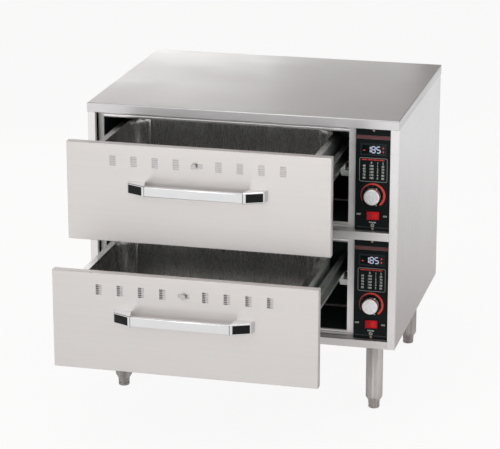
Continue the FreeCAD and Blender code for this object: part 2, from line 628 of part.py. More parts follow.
def make_switch_body(bay_z):
    """Switch housing: bezel on the panel, hollow body behind it and pivot holes for the rocker."""
    centre = panel_point(bay_z, SWITCH_DROP)
    bezel = bezel_block(centre, *SWITCH_BEZEL, SWITCH_PROUD)
    body = upright_block(centre, *SWITCH_BODY, -SWITCH_PROUD / 2, SWITCH_BODY_DEPTH)
    well = upright_block(centre, ROCKER_SIZE[0] + 2 * ROCKER_SIDE_GAP, ROCKER_SIZE[1] + 2 * ROCKER_END_GAP,
                         -2 * SWITCH_PROUD, ROCKER_PIVOT_DEPTH + ROCKER_THICKNESS + ROCKER_VALLEY)
    reach = ROCKER_SIZE[1] / 2 + ROCKER_PIN_REACH
    pivot = Part.makeCylinder(ROCKER_PIN_RADIUS + ROCKER_PIN_CLEARANCE, 2 * reach,
                              rocker_place(bay_z) - Z_AXIS * reach, Z_AXIS)
    return fused([bezel, body]).cut([well, pivot])


def make_rocker(bay_z):
    """Lit rocker with a shallow valley, pressed at its right end."""
    centre = panel_point(bay_z, SWITCH_DROP)
    half = ROCKER_SIZE[0] / 2
    half_height = ROCKER_SIZE[1] / 2
    outline = [
        (centre.x - half, centre.y - ROCKER_HORN),
        (centre.x, centre.y - ROCKER_VALLEY),
        (centre.x + half, centre.y - ROCKER_HORN),
        (centre.x + half, centre.y + ROCKER_PIVOT_DEPTH),
        (centre.x + half / 2, centre.y + ROCKER_THICKNESS),
        (centre.x - half / 2, centre.y + ROCKER_THICKNESS),
        (centre.x - half, centre.y + ROCKER_PIVOT_DEPTH),
    ]
    rocker = prism(outline, "XY", centre.z - half_height, centre.z + half_height)
    reach = half_height + ROCKER_PIN_REACH - ROCKER_PIN_CLEARANCE
    pivot = rocker_place(bay_z)
    pin = Part.makeCylinder(ROCKER_PIN_RADIUS, 2 * reach, pivot - Z_AXIS * reach, Z_AXIS)
    rocker = fused([rocker, pin])
    rocker.rotate(pivot, Z_AXIS, ROCKER_TILT)
    return rocker


# ---------------------------------------------------------------- one drawer, in its own datum
def vent_middles():
    """Sideways place of each vent group from the drawer's mid plane."""
    groups = range(1, VENT_GROUPS_PER_SIDE + 1)
    return [side * group * VENT_PITCH for side in (-1, 1) for group in groups]


def vent_slots(front, back):
    """Cutting blocks of every louvre slot in the drawer front."""
    cuts = []
    for middle in vent_middles():
        for row in range(VENT_ROWS):
            z = VENT_Z + (row - (VENT_ROWS - 1) / 2) * VENT_ROW_PITCH
            cuts.append(block(middle - VENT_SLOT_WIDTH / 2, middle + VENT_SLOT_WIDTH / 2, front, back,
                              z - VENT_SLOT_HEIGHT / 2, z + VENT_SLOT_HEIGHT / 2))
    return cuts


def vent_windows(width, height, offset, front, back):
    """Cutting blocks of one window for each vent group, shifted sideways by an offset."""
    cuts = []
    for middle in vent_middles():
        centre = middle + offset
        cuts.append(block(centre - width / 2, centre + width / 2, front, back,
                          VENT_Z - height / 2, VENT_Z + height / 2))
    return cuts


def vent_half_length():
    """Half length of the sliding vent plate."""
    return VENT_GROUPS_PER_SIDE * VENT_PITCH + VENT_SLOT_WIDTH / 2 + VENT_TRAVEL / 2 + VENT_PLATE_END


def make_front_skin():
    """Outer shell of the drawer front, with real vent slots and the guides of the vent plate."""
    shell = block(-FRONT_HALF, FRONT_HALF, 0, FRONT_DEPTH, 0, FRONT_HEIGHT)
    shell = shell.makeFillet(FRONT_BEND, edges_where(shell, lambda m: m.y < FRONT_SHEET))
    shell = shell.cut(block(-FRONT_HALF + FRONT_SHEET, FRONT_HALF - FRONT_SHEET, FRONT_SHEET, FRONT_DEPTH,
                            FRONT_SHEET, FRONT_HEIGHT - FRONT_SHEET))
    half = vent_half_length() + VENT_TRAVEL / 2
    step = FRONT_SHEET + 2 * VENT_PLAY + VENT_PLATE_SHEET
    plate_edge = VENT_PLATE_HEIGHT / 2 + VENT_PLAY
    guides = []
    for side in (-1, 1):
        low, foot, lip = (VENT_Z + side * distance for distance in
                          (plate_edge, plate_edge + VENT_GUIDE_FOOT, plate_edge - VENT_GUIDE_LIP))
        guides.append(block(-half, half, FRONT_SHEET, step, min(low, foot), max(low, foot)))
        guides.append(block(-half, half, step, step + VENT_GUIDE_SHEET, min(lip, foot), max(lip, foot)))
    knob_width, knob_height = VENT_KNOB_SLOT
    knob_slot = block(-knob_width / 2, knob_width / 2, -FRONT_SHEET, 2 * FRONT_SHEET,
                      VENT_Z - knob_height / 2, VENT_Z + knob_height / 2)
    slots = vent_slots(-FRONT_SHEET, 2 * FRONT_SHEET)
    return fused([shell] + guides).cut(slots + [knob_slot])


def make_inner_panel():
    """Sheet that closes the back of the drawer front, with one window behind each vent group."""
    panel = block(-FRONT_HALF + FRONT_SHEET, FRONT_HALF - FRONT_SHEET, FRONT_DEPTH - FRONT_SHEET, FRONT_DEPTH,
                  FRONT_SHEET, FRONT_HEIGHT - FRONT_SHEET)
    return panel.cut(vent_windows(*VENT_WINDOW, 0, FRONT_DEPTH - 2 * FRONT_SHEET, FRONT_DEPTH + FRONT_SHEET))


def make_vent_plate(position):
    """Sliding vent plate; its windows meet the front's slots at the end of its travel."""
    shift = position - VENT_TRAVEL / 2
    half = vent_half_length()
    front = FRONT_SHEET + VENT_PLAY
    plate = block(-half, half, front, front + VENT_PLATE_SHEET,
                  VENT_Z - VENT_PLATE_HEIGHT / 2, VENT_Z + VENT_PLATE_HEIGHT / 2)
    height = (VENT_ROWS - 1) * VENT_ROW_PITCH + VENT_SLOT_HEIGHT
    windows = vent_windows(VENT_SLOT_WIDTH, height, -VENT_TRAVEL / 2, 0, front + 2 * VENT_PLATE_SHEET)
    return plate.cut(windows).translated(X_AXIS * shift)


def make_vent_knob(position):
    """Finger knob of the vent plate, on a shank through the front's centre slot."""
    shift = position - VENT_TRAVEL / 2
    head_back = -VENT_HEAD_GAP
    head_front = head_back - VENT_HEAD_LENGTH
    profile = [
        (0, FRONT_SHEET + VENT_PLAY),
        (VENT_SHANK_RADIUS, FRONT_SHEET + VENT_PLAY),
        (VENT_SHANK_RADIUS, head_back),
        (VENT_HEAD_RADIUS, head_back),
        (VENT_HEAD_RADIUS, head_front),
        (0, head_front),
    ]
    return turned(profile, Y_AXIS, FreeCAD.Vector(shift, 0, VENT_Z))


def make_slide_rails():
    """Drawer rails: flanged web with a running lip and a skirt, a front tab and the rear roller's pin."""
    front = FRONT_DEPTH
    back = FRONT_DEPTH + RAIL_LENGTH
    web = WEB_FACE - RAIL_SHEET
    top = FRONT_HEIGHT - RAIL_TOP_DROP
    skirt = FRONT_HEIGHT - RAIL_SKIRT_DROP
    pin_end = LINER_HALF - CHANNEL_SHEET - PIN_END_GAP
    pin = Part.makeCylinder(ROLLER_PIN_RADIUS, pin_end - WEB_FACE,
                            FreeCAD.Vector(WEB_FACE, REAR_ROLLER_Y, REAR_ROLLER_Z), X_AXIS)
    rail = fused([
        block(web, WEB_FACE, front, back, skirt, top),
        block(web, WEB_FACE + RAIL_LIP, front, back, top - RAIL_SHEET, top),
        block(web, WEB_FACE + RAIL_LIP, front, back, LIP_Z, LIP_Z + RAIL_SHEET),
        block(web - RAIL_TAB, WEB_FACE, front, front + RAIL_SHEET, skirt, top),
        pin,
    ])
    return both_sides(rail)


def make_pan_carrier():
    """Frame that the pan's rim rests on: four walls with an outward flange welded to the rails."""
    inset = PAN_SHEET + CARRIER_CLEARANCE
    half_x = PAN_WIDTH / 2 - inset
    half_y = PAN_LENGTH / 2 - inset
    centre_y = PAN_FRONT + PAN_LENGTH / 2
    web = WEB_FACE - RAIL_SHEET
    flange = block(-web, web, FRONT_DEPTH + RAIL_SHEET, centre_y + half_y + CARRIER_REAR_FLANGE,
                   CARRIER_Z, CARRIER_Z + CARRIER_SHEET)
    walls = rounded_plate(half_x, half_y, CARRIER_CORNER, centre_y, CARRIER_Z, CARRIER_Z + CARRIER_HEIGHT)
    inside = rounded_plate(half_x - CARRIER_SHEET, half_y - CARRIER_SHEET, CARRIER_CORNER - CARRIER_SHEET,
                           centre_y, CARRIER_Z - CARRIER_SHEET, CARRIER_Z + CARRIER_HEIGHT + CARRIER_SHEET)
    return fused([flange, walls]).cut(inside)


def pan_basin(inset, floor_z):
    """Tapered basin form: conical corners between flat walls, and an eased edge round the floor."""
    centre_y = PAN_FRONT + PAN_LENGTH / 2
    corner_x = PAN_WIDTH / 2 - PAN_RIM - PAN_CORNER
    corner_y = PAN_LENGTH / 2 - PAN_RIM - PAN_CORNER
    reach = PAN_CORNER - inset
    wall = [
        (reach - PAN_DRAFT - PAN_FLOOR_EASE, floor_z),
        (reach - PAN_DRAFT, floor_z + PAN_FLOOR_EASE),
        (reach, RIM_Z),
    ]
    right = [(corner_x + out, z) for out, z in wall]
    left = [(-x, z) for x, z in reversed(right)]
    back = [(centre_y + corner_y + out, z) for out, z in wall]
    front = [(2 * centre_y - y, z) for y, z in reversed(back)]
    pieces = [
        prism(right + left, "XZ", centre_y - corner_y, centre_y + corner_y),
        prism(back + front, "YZ", -corner_x, corner_x),
    ]
    for x in (-corner_x, corner_x):
        for y in (centre_y - corner_y, centre_y + corner_y):
            profile = [(0, floor_z)] + wall + [(0, RIM_Z)]
            pieces.append(turned(profile, Z_AXIS, FreeCAD.Vector(x, y, 0)))
    return fused(pieces)


def make_pan():
    """Full-size steel pan: drawn basin, flat rim and a turned-down edge."""
    centre_y = PAN_FRONT + PAN_LENGTH / 2
    half_x = PAN_WIDTH / 2
    half_y = PAN_LENGTH / 2
    floor = RIM_Z - PAN_DEPTH
    rim = rounded_plate(half_x, half_y, PAN_RIM_CORNER, centre_y, RIM_Z - PAN_RIM_LIP, RIM_Z)
    under_rim = rounded_plate(half_x - PAN_SHEET, half_y - PAN_SHEET, PAN_RIM_CORNER - PAN_SHEET, centre_y,
                              RIM_Z - PAN_RIM_LIP, RIM_Z - PAN_SHEET)
    outer = pan_basin(0, floor)
    inner = pan_basin(PAN_SHEET, floor + PAN_SHEET)
    return fused([rim.cut(under_rim), outer]).cut(inner)


def make_handle_bar():
    """Flat grip bar with eased long edges."""
    half = BAR_LENGTH / 2
    bar = block(-half, half, -HANDLE_STANDOFF, -HANDLE_STANDOFF + BAR_THICKNESS,
                HANDLE_Z - BAR_HEIGHT / 2, HANDLE_Z + BAR_HEIGHT / 2)
    return bar.makeFillet(BAR_EDGE, edges_where(bar, lambda m: abs(m.x) < 1))


def bracket_face():
    """Start, end and slope angle of the right bracket's slanted outer face, in plan."""
    start = (BAR_LENGTH / 2, -HANDLE_STANDOFF)
    end = (HANDLE_LENGTH / 2 - BRACKET_SIDE_SLOPE, -BRACKET_OUTER_DEPTH)
    angle = math.degrees(math.atan2(end[1] - start[1], end[0] - start[0]))
    return start, end, angle


def inlay_block(length, height, depth_in, depth_out):
    """Block by the outer corner of the right bracket's slanted face, from inside it to outside it."""
    start, end, angle = bracket_face()
    along = FreeCAD.Vector(end[0] - start[0], end[1] - start[1], 0).normalize()
    middle = FreeCAD.Vector(end[0], end[1], HANDLE_Z) - along * (INLAY_END + INLAY_LENGTH / 2)
    shape = block(-length / 2, length / 2, -depth_out, depth_in, -height / 2, height / 2)
    shape.rotate(FreeCAD.Vector(0, 0, 0), Z_AXIS, angle)
    return shape.translated(middle)


def make_handle_brackets():
    """Cast end brackets: wedge in plan, with a pocket for the inlay in the slanted face."""
    start, end, angle = bracket_face()
    outline = [
        start,
        end,
        (HANDLE_LENGTH / 2, 0),
        (BAR_LENGTH / 2 + BRACKET_INNER_SLOPE, 0),
        (BAR_LENGTH / 2, -HANDLE_STANDOFF + BAR_THICKNESS),
    ]
    bracket = prism(outline, "XY", HANDLE_Z - BRACKET_HEIGHT / 2, HANDLE_Z + BRACKET_HEIGHT / 2)
    bracket = bracket.makeChamfer(BRACKET_EDGE, edges_where(
        bracket, lambda m: m.y < -BRACKET_EDGE and abs(m.x - BAR_LENGTH / 2) > BAR_THICKNESS / 2
        or abs(m.x - end[0]) < BRACKET_SIDE_SLOPE and m.y < -BRACKET_EDGE))
    pocket = inlay_block(INLAY_LENGTH, INLAY_HEIGHT, INLAY_DEPTH, INLAY_DEPTH)
    return both_sides(bracket.cut(pocket))


def make_handle_inlays():
    """Plain black inlay plates in the brackets' pockets."""
    plate = inlay_block(INLAY_LENGTH - 2 * INLAY_MARGIN, INLAY_HEIGHT - 2 * INLAY_MARGIN, INLAY_DEPTH, 0)
    return both_sides(plate)


# ---------------------------------------------------------------- legs
def leg_places():
    """Leg axes by name."""
    x = HALF_WIDTH - LEG_INSET
    return {
        "front_left": (-x, LEG_SETBACK),
        "front_right": (x, LEG_SETBACK),
        "rear_left": (-x, CABINET_DEPTH - LEG_SETBACK),
        "rear_right": (x, CABINET_DEPTH - LEG_SETBACK),
    }


def make_legs():
    """Four legs, each tapered at its tip and bored as the guide of its foot."""
    guide = FOOT_RADIUS + FOOT_CLEARANCE
    guide_top = FOOT_SHOWING + LEG_GUIDE
    profile = [
        (guide, FOOT_SHOWING),
        (guide + LEG_TIP_WALL, FOOT_SHOWING),
        (LEG_RADIUS, FOOT_SHOWING + LEG_TAPER_LENGTH),
        (LEG_RADIUS, BODY_Z),
        (0, BODY_Z),
        (0, guide_top),
        (guide, guide_top),
    ]
    places = leg_places().values()
    return Part.makeCompound([turned(profile, Z_AXIS, FreeCAD.Vector(x, y, 0)) for x, y in places])


def make_foot(x, y):
    """Levelling foot: round sole on a stem inside the leg's guide."""
    return Part.makeCylinder(FOOT_RADIUS, FOOT_SHOWING + FOOT_ENGAGED, FreeCAD.Vector(x, y, 0))


# ---------------------------------------------------------------- assembly
def bay_nodes(name, bay_z):
    """Fixed and hand-worked pieces of one bay."""
    seat_z = bay_z + FRONT_SEAT
    return {
        f"{name}_trim_frame": make_trim_frame(bay_z),
        f"{name}_liner": make_liner(bay_z),
        f"{name}_elements": make_elements(bay_z),
        f"{name}_slide_channels": make_slide_channels(seat_z),
        f"{name}_mouth_rollers": make_rollers(MOUTH_ROLLER_RADIUS).translated(mouth_roller_place(seat_z)),
        f"{name}_control_panel": make_control_panel(bay_z),
        f"{name}_display": make_display(bay_z),
        f"{name}_spindle": make_spindle(bay_z),
        f"{name}_knob": make_knob(bay_z),
        f"{name}_switch_body": make_switch_body(bay_z),
        f"{name}_rocker": make_rocker(bay_z),
    }


def drawer_nodes(name, bay_z, extension, vent_position):
    """Pieces of one drawer, placed at its stored pull-out."""
    shapes = {
        "front_skin": make_front_skin(),
        "inner_panel": make_inner_panel(),
        "vent_plate": make_vent_plate(vent_position),
        "vent_knob": make_vent_knob(vent_position),
        "slide_rails": make_slide_rails(),
        "rear_rollers": make_rollers(REAR_ROLLER_RADIUS).translated(
            FreeCAD.Vector(0, REAR_ROLLER_Y, REAR_ROLLER_Z)),
        "pan_carrier": make_pan_carrier(),
        "pan": make_pan(),
        "handle_bar": make_handle_bar(),
        "handle_brackets": make_handle_brackets(),
        "handle_inlays": make_handle_inlays(),
    }
    place = FreeCAD.Vector(DRAWER_X, -extension, bay_z + FRONT_SEAT)
    return {f"{name}_{part}": shape.translated(place) for part, shape in shapes.items()}


def all_nodes():
    """Every node of the cabinet, in the cabinet's datum."""
    nodes = {
        "top_cover": make_top_cover(),
        "left_side_panel": make_side_panel(-1),
        "right_side_panel": make_side_panel(1),
        "base_panel": make_base_panel(),
        "mid_rail": make_mid_rail(),
        "back_panel": make_back_panel(),
        "cord_gland": make_cord_gland(),
        "insulation": make_insulation(),
        "thermostats": make_thermostats(),
        "legs": make_legs(),
    }
    nodes.update(bay_nodes("upper", UPPER_BAY_Z))
    nodes.update(bay_nodes("lower", LOWER_BAY_Z))
    nodes.update(drawer_nodes("upper", UPPER_BAY_Z, UPPER_EXTENSION, UPPER_VENT_POSITION))
    nodes.update(drawer_nodes("lower", LOWER_BAY_Z, LOWER_EXTENSION, LOWER_VENT_POSITION))
    for name, (x, y) in leg_places().items():
        nodes[f"{name}_foot"] = make_foot(x, y)
    return nodes


def main():
    """Writes one STEP file per node, moved to the part's origin."""
    os.makedirs("parts", exist_ok=True)
    for name, shape in all_nodes().items():
        shape.translated(Y_AXIS * -ORIGIN_Y).exportStep(f"parts/{name}.step")


if __name__ == "__main__":
    main()
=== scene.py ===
"""Looks of a two-drawer countertop warming cabinet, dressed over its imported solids.

The finishes come first, then the stage, the tools that make small pieces, and the sub-assemblies.
Sizes are in metres unless a comment says millimetres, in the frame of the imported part: +X to the
right of the front, +Y to the back, +Z up, with the floor at zero.
"""

import logging
import math
from dataclasses import dataclass, field
from enum import Enum
from typing import Optional, Sequence

import bmesh
import bpy
from mathutils import Matrix, Vector

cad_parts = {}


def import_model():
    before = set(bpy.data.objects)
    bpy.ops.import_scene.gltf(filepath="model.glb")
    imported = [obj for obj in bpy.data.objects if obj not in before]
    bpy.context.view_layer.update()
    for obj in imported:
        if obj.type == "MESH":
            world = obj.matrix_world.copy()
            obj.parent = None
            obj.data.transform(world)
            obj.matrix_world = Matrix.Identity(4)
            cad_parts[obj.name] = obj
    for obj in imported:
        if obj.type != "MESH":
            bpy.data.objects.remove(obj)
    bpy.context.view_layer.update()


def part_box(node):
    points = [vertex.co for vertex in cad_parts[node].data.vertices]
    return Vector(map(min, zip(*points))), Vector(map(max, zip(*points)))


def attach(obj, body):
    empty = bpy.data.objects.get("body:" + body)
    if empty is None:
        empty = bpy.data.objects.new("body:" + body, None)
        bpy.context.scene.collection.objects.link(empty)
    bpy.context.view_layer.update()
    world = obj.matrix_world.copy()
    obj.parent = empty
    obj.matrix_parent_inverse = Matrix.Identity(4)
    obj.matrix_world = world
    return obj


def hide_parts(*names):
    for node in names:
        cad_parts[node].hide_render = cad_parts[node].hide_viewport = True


LOG = logging.getLogger("warming_cabinet")
MM = 0.001
SHARP_ANGLE = math.radians(35)
EASED_ANGLE = math.radians(40)
WELD_REACH = 0.002 * MM
TYPE_WEIGHT = 0.18 * MM
CORNER_STEPS = 5
Colour = tuple[float, float, float]
Place = tuple[float, float, float]
Point = tuple[float, float]
Socket = bpy.types.NodeSocket
Outputs = bpy.types.bpy_prop_collection
Vert = bmesh.types.BMVert


class Bay(Enum):
    """The two heated bays, named as their nodes are."""

    UPPER = "upper"
    LOWER = "lower"

    def node(self, part: str) -> str:
        """Name of one of this bay's nodes or bodies."""
        return f"{self.value}_{part}"


class Grain(Enum):
    """Direction in which a sheet was brushed, as the stretch of its scratches along each axis."""

    ACROSS = (0.012, 1.0, 1.0)
    UPRIGHT = (1.0, 1.0, 0.012)


# ------------------------------------------------------------------ finishes
class NodeBench:
    """Small helper that wires the nodes of one material or of the world."""

    def __init__(self, tree: bpy.types.NodeTree) -> None:
        """Opens a node tree, with its default shader if it has one."""
        self.tree = tree
        self.shader = next((n for n in tree.nodes if n.type == "BSDF_PRINCIPLED"), None)

    def fill(self, target: Socket, value: object) -> None:
        """Links a socket to an input, or sets the input to a plain value."""
        if isinstance(value, Socket):
            self.tree.links.new(value, target)
        else:
            target.default_value = value

    def add(self, kind: str, inputs: Optional[dict] = None, **settings: object) -> Outputs:
        """Adds a node.

        Args:
            kind: the node's type name.
            inputs: value or source of each input, by name or number.
            **settings: properties of the node.

        Returns:
            The node's outputs.
        """
        node = self.tree.nodes.new(kind)
        for name, value in settings.items():
            setattr(node, name, value)
        for name, value in (inputs or {}).items():
            self.fill(node.inputs[name], value)
        return node.outputs

    def set(self, name: str, value: object) -> None:
        """Gives one of the shader's own sockets a value or a source."""
        self.fill(self.shader.inputs[name], value)

    def place(self, stretch: Sequence[float] = (1, 1, 1), start: Sequence[float] = (0, 0, 0)) -> Socket:
        """Object coordinates in metres, counted from a start and then stretched along each axis."""
        moved = [-s * k for s, k in zip(start, stretch)]
        mapped = self.add("ShaderNodeMapping", {"Scale": stretch, "Location": moved})["Vector"]
        where = self.add("ShaderNodeTexCoord")["Object"]
        self.fill(mapped.node.inputs["Vector"], where)
        return mapped

    def noise(self, where: Socket, scale: float, detail: float = 4, rough: float = 0.6) -> Socket:
        """Value of a noise texture.

        Args:
            where: coordinates.
            scale: cells per metre.
            detail: octaves.
            rough: weight of the finer octaves.

        Returns:
            The value socket, from 0 to 1 about a mean of one half.
        """
        inputs = {"Vector": where, "Scale": scale, "Detail": detail, "Roughness": rough}
        return self.add("ShaderNodeTexNoise", inputs)["Fac"]

    def spread(self, value: Socket, low: float, high: float,
               start: float = 0.3, end: float = 0.7) -> Socket:
        """Maps a value to a range.

        Args:
            value: the value to map.
            low: result at start.
            high: result at end.
            start: value that gives low.
            end: value that gives high.

        Returns:
            The mapped value socket.
        """
        inputs = {"Value": value, "From Min": start, "From Max": end, "To Min": low, "To Max": high}
        return self.add("ShaderNodeMapRange", inputs)["Result"]

    def sums(self, *values: Socket) -> Socket:
        """Adds several values."""
        total = values[0]
        for value in values[1:]:
            total = self.add("ShaderNodeMath", {0: total, 1: value}, operation="ADD")[0]
        return total

    def product(self, value: Socket, factor: Socket | float) -> Socket:
        """Multiplies a value by a number or by another value."""
        return self.add("ShaderNodeMath", {0: value, 1: factor}, operation="MULTIPLY")[0]

    def length(self, vector: Socket) -> Socket:
        """Length of a vector."""
        return self.add("ShaderNodeVectorMath", {0: vector}, operation="LENGTH")["Value"]

    def tint(self, value: Socket, stops: Sequence[tuple[float, Colour]]) -> Socket:
        """Colours a value through a ramp.

        Args:
            value: the value, from 0 to 1.
            stops: place and colour of each stop, in order.

        Returns:
            The colour socket.
        """
        colour = self.add("ShaderNodeValToRGB", {"Fac": value})["Color"]
        stones = colour.node.color_ramp.elements
        while len(stones) < len(stops):
            stones.new(0.5)
        for stone, (at, shade) in zip(stones, stops):
            stone.position = at
            stone.color = (*shade, 1)
        return colour

    def pull(self, axis: str, amount: float) -> None:
        """Pulls the highlights across a grain that lies along an axis or turns about it."""
        self.set("Tangent", self.add("ShaderNodeTangent", direction_type="RADIAL", axis=axis)[0])
        self.set("Anisotropic", amount)

    def bump(self, height: Socket, strength: float, depth: float) -> None:
        """Raises the surface by a height.

        Args:
            height: the height value, from 0 to 1.
            strength: share of the bump that shows.
            depth: metres that a height of 1 stands for.
        """
        inputs = {"Strength": strength, "Distance": depth, "Height": height}
        self.set("Normal", self.add("ShaderNodeBump", inputs)["Normal"])


def shaded(colour: Colour, factor: float) -> Colour:
    """A colour made darker or lighter by a factor."""
    return tuple(min(1.0, c * factor) for c in colour)


@dataclass(frozen=True)
class Finish:
    """A finish that can turn itself into one material."""

    name: str
    colour: Colour
    roughness: float

    def material(self) -> bpy.types.Material:
        """The material of this finish, made on first use."""
        found = bpy.data.materials.get(self.name)
        if found is None:
            found = bpy.data.materials.new(self.name)
            found.use_nodes = True
            self.wire(NodeBench(found.node_tree))
            found.diffuse_color = (*self.colour, 1)
        return found

    def wire(self, bench: NodeBench) -> None:
        """Wires the nodes of this finish."""
        raise NotImplementedError

    def mottled(self, bench: NodeBench, value: Socket, contrast: float) -> None:
        """Colours a pattern in a band round the finish's own colour, as wide as its contrast."""
        band = [(0.25, shaded(self.colour, 1 - contrast)), (0.75, shaded(self.colour, 1 + contrast))]
        bench.set("Base Color", bench.tint(value, band))

    def worn(self, bench: NodeBench, value: Socket, less: float, more: float) -> None:
        """Spreads a pattern's roughness from a little less to a little more than the finish's own."""
        bench.set("Roughness", bench.spread(value, self.roughness - less, self.roughness + more))


@dataclass(frozen=True)
class BrushedSteel(Finish):
    """Stainless sheet with fine drawn scratches and faint clouds of handling; where its colour contrast is
    set high, its streaks are painted reflections.
    """

    grain: Grain = Grain.ACROSS
    scratches: float = 1400.0
    contrast: float = 0.02
    scratch_depth: float = 0.10
    pull: float = 0.55
    upright_pull: bool = False

    def wire(self, bench: NodeBench) -> None:
        """Wires scratches, longer streaks, clouds and highlights pulled across the grain."""
        bench.pull("X" if self.grain is Grain.ACROSS else "Z", self.pull)
        if self.upright_pull:
            bench.set("Anisotropic Rotation", 0.25)
        drawn = bench.place(self.grain.value)
        fine = bench.noise(drawn, self.scratches, 3, 0.7)
        streaks = bench.noise(drawn, self.scratches / 9, 3, 0.6)
        clouds = bench.noise(bench.place(), 5, 3, 0.5)
        bench.set("Metallic", 1.0)
        self.mottled(bench, bench.spread(bench.sums(streaks, clouds), 0, 1, 0.6, 1.4), self.contrast)
        rough = bench.sums(
            bench.spread(fine, -0.05, 0.05),
            bench.spread(clouds, self.roughness - 0.03, self.roughness + 0.03),
        )
        bench.set("Roughness", rough)
        bench.bump(bench.sums(fine, streaks), self.scratch_depth, 0.05 * MM)


@dataclass(frozen=True)
class SteelWithPaintedFoldHighlight(BrushedSteel):
    """Brushed sheet whose front fold is painted lighter: a painted highlight on the fold."""

    fold_front: float = 0.0
    fold_highlight_colour: Colour = (0.9, 0.9, 0.9)
    blend: float = 1.2 * MM

    def mottled(self, bench: NodeBench, value: Socket, contrast: float) -> None:
        """Colours the sheet as before, and paints its front fold lighter as a painted highlight."""
        depth = bench.add("ShaderNodeSeparateXYZ", {0: bench.place()})[1]
        # Share of the front fold, where the painted highlight goes.
        fold = bench.spread(depth, 1.0, 0.0, self.fold_front, self.fold_front + self.blend)
        pattern = bench.spread(value, 0.0, 0.6, 0.0, 1.0)
        band = [(0.15, shaded(self.colour, 1 - contrast)), (0.45, shaded(self.colour, 1 + contrast)),
                (1.0, self.fold_highlight_colour)]
        bench.set("Base Color", bench.tint(bench.sums(pattern, fold), band))


@dataclass(frozen=True)
class MilledSheet(Finish):
    """Coated sheet with a soft spangle, for backs, liners and rails."""

    spangle: float = 160.0
    contrast: float = 0.10

    def wire(self, bench: NodeBench) -> None:
        """Wires spangle cells, handling marks and a shallow bump."""
        where = bench.place()
        cells = bench.add("ShaderNodeTexVoronoi", {"Vector": where, "Scale": self.spangle})
        shade = bench.add("ShaderNodeSeparateColor", {"Color": cells["Color"]})[0]
        marks = bench.noise(where, 30, 6, 0.65)
        bench.set("Metallic", 1.0)
        pattern = bench.sums(bench.spread(shade, 0, 0.35, 0, 1), bench.spread(marks, 0, 0.65))
        self.mottled(bench, pattern, self.contrast)
        rough = bench.spread(pattern, self.roughness - 0.07, self.roughness + 0.09, 0, 1)
        bench.set("Roughness", rough)
        bench.bump(marks, 0.12, 0.2 * MM)


@dataclass(frozen=True)
class Plated(Finish):
    """Bright plating with a breath of smudges."""

    smudge: float = 0.06

    def wire(self, bench: NodeBench) -> None:
        """Wires smudges in the roughness and a faint waviness."""
        smudges = bench.noise(bench.place(), 90, 5, 0.6)
        bench.set("Metallic", 1.0)
        self.mottled(bench, smudges, 0.02)
        self.worn(bench, smudges, 0, self.smudge)
        bench.bump(bench.noise(bench.place(), 45, 2, 0.5), 0.05, 0.2 * MM)


@dataclass(frozen=True)
class TurnedMetal(Finish):
    """Metal turned on a lathe, with rings about an axis along Y."""

    centre: Place = (0, 0, 0)
    rings: float = 1600.0

    def wire(self, bench: NodeBench) -> None:
        """Wires turning rings and a shimmer that runs round the axis."""
        radius = bench.length(bench.place((1, 0, 1), self.centre))
        spun = bench.add("ShaderNodeCombineXYZ", {0: bench.product(radius, self.rings)})[0]
        rings = bench.noise(spun, 1, 4, 0.7)
        marks = bench.noise(bench.place(), 330, 4, 0.7)
        bench.pull("Y", 0.75)
        bench.set("Metallic", 1.0)
        self.mottled(bench, bench.spread(bench.sums(rings, marks), 0, 1, 0.7, 1.3), 0.2)
        self.worn(bench, rings, 0.05, 0.08)
        bench.bump(rings, 0.2, 0.05 * MM)


@dataclass(frozen=True)
class Paint(Finish):
    """Sprayed or moulded coat with a fine skin and a little dust."""

    skin: float = 900.0
    skin_depth: float = 0.15
    dust: float = 0.25
    gloss: float = 0.5

    def wire(self, bench: NodeBench) -> None:
        """Wires orange peel, dust in the colour and uneven gloss."""
        peel = bench.noise(bench.place(), self.skin, 3, 0.6)
        patches = bench.noise(bench.place(), 22, 5, 0.6)
        self.mottled(bench, patches, self.dust)
        bench.set("Specular IOR Level", self.gloss)
        self.worn(bench, patches, 0.05, 0.08)
        bench.bump(peel, self.skin_depth, 0.1 * MM)


@dataclass(frozen=True)
class Ink(Finish):
    """Screen printing: a thin coat, a little uneven at the edges of its dots."""

    def wire(self, bench: NodeBench) -> None:
        """Wires fine dots in colour and gloss."""
        dots = bench.noise(bench.place(), 2600, 2, 0.5)
        self.mottled(bench, dots, 0.12)
        self.worn(bench, dots, 0.05, 0.1)


@dataclass(frozen=True)
class SweptInk(Finish):
    """Screen printing that runs from maroon to red round an axis along Y."""

    centre: Place = (0, 0, 0)
    start: Colour = (0.22, 0.018, 0.022)

    def wire(self, bench: NodeBench) -> None:
        """Wires the colour by the angle round the axis, with the dots of the print."""
        across, _, up = bench.add("ShaderNodeSeparateXYZ", {0: bench.place(start=self.centre)})
        turn = bench.add("ShaderNodeMath", {0: across, 1: up}, operation="ARCTAN2")[0]
        dots = bench.noise(bench.place(), 2600, 2, 0.5)
        share = bench.sums(
            bench.spread(turn, 0, 1, -math.pi, math.pi), bench.spread(dots, -0.02, 0.02))
        stops = [(0.17, self.start), (0.33, shaded(self.start, 1.5)),
                 (0.5, shaded(self.colour, 0.8)), (0.8, self.colour)]
        bench.set("Base Color", bench.tint(share, stops))
        self.worn(bench, dots, 0.05, 0.1)


@dataclass(frozen=True)
class Glow(Finish):
    """Lit strokes of a display, a little uneven with the grain of their diffuser."""

    strength: float = 1.0

    def wire(self, bench: NodeBench) -> None:
        """Wires the glow with the grain of its diffuser."""
        grain = bench.noise(bench.place(), 900, 3, 0.6)
        band = [(0.3, shaded(self.colour, 0.8)), (0.7, self.colour)]
        bench.set("Emission Color", bench.tint(grain, band))
        bench.set("Emission Strength", self.strength)
        bench.set("Base Color", (*shaded(self.colour, 0.2), 1))
        self.worn(bench, grain, 0, 0.1)


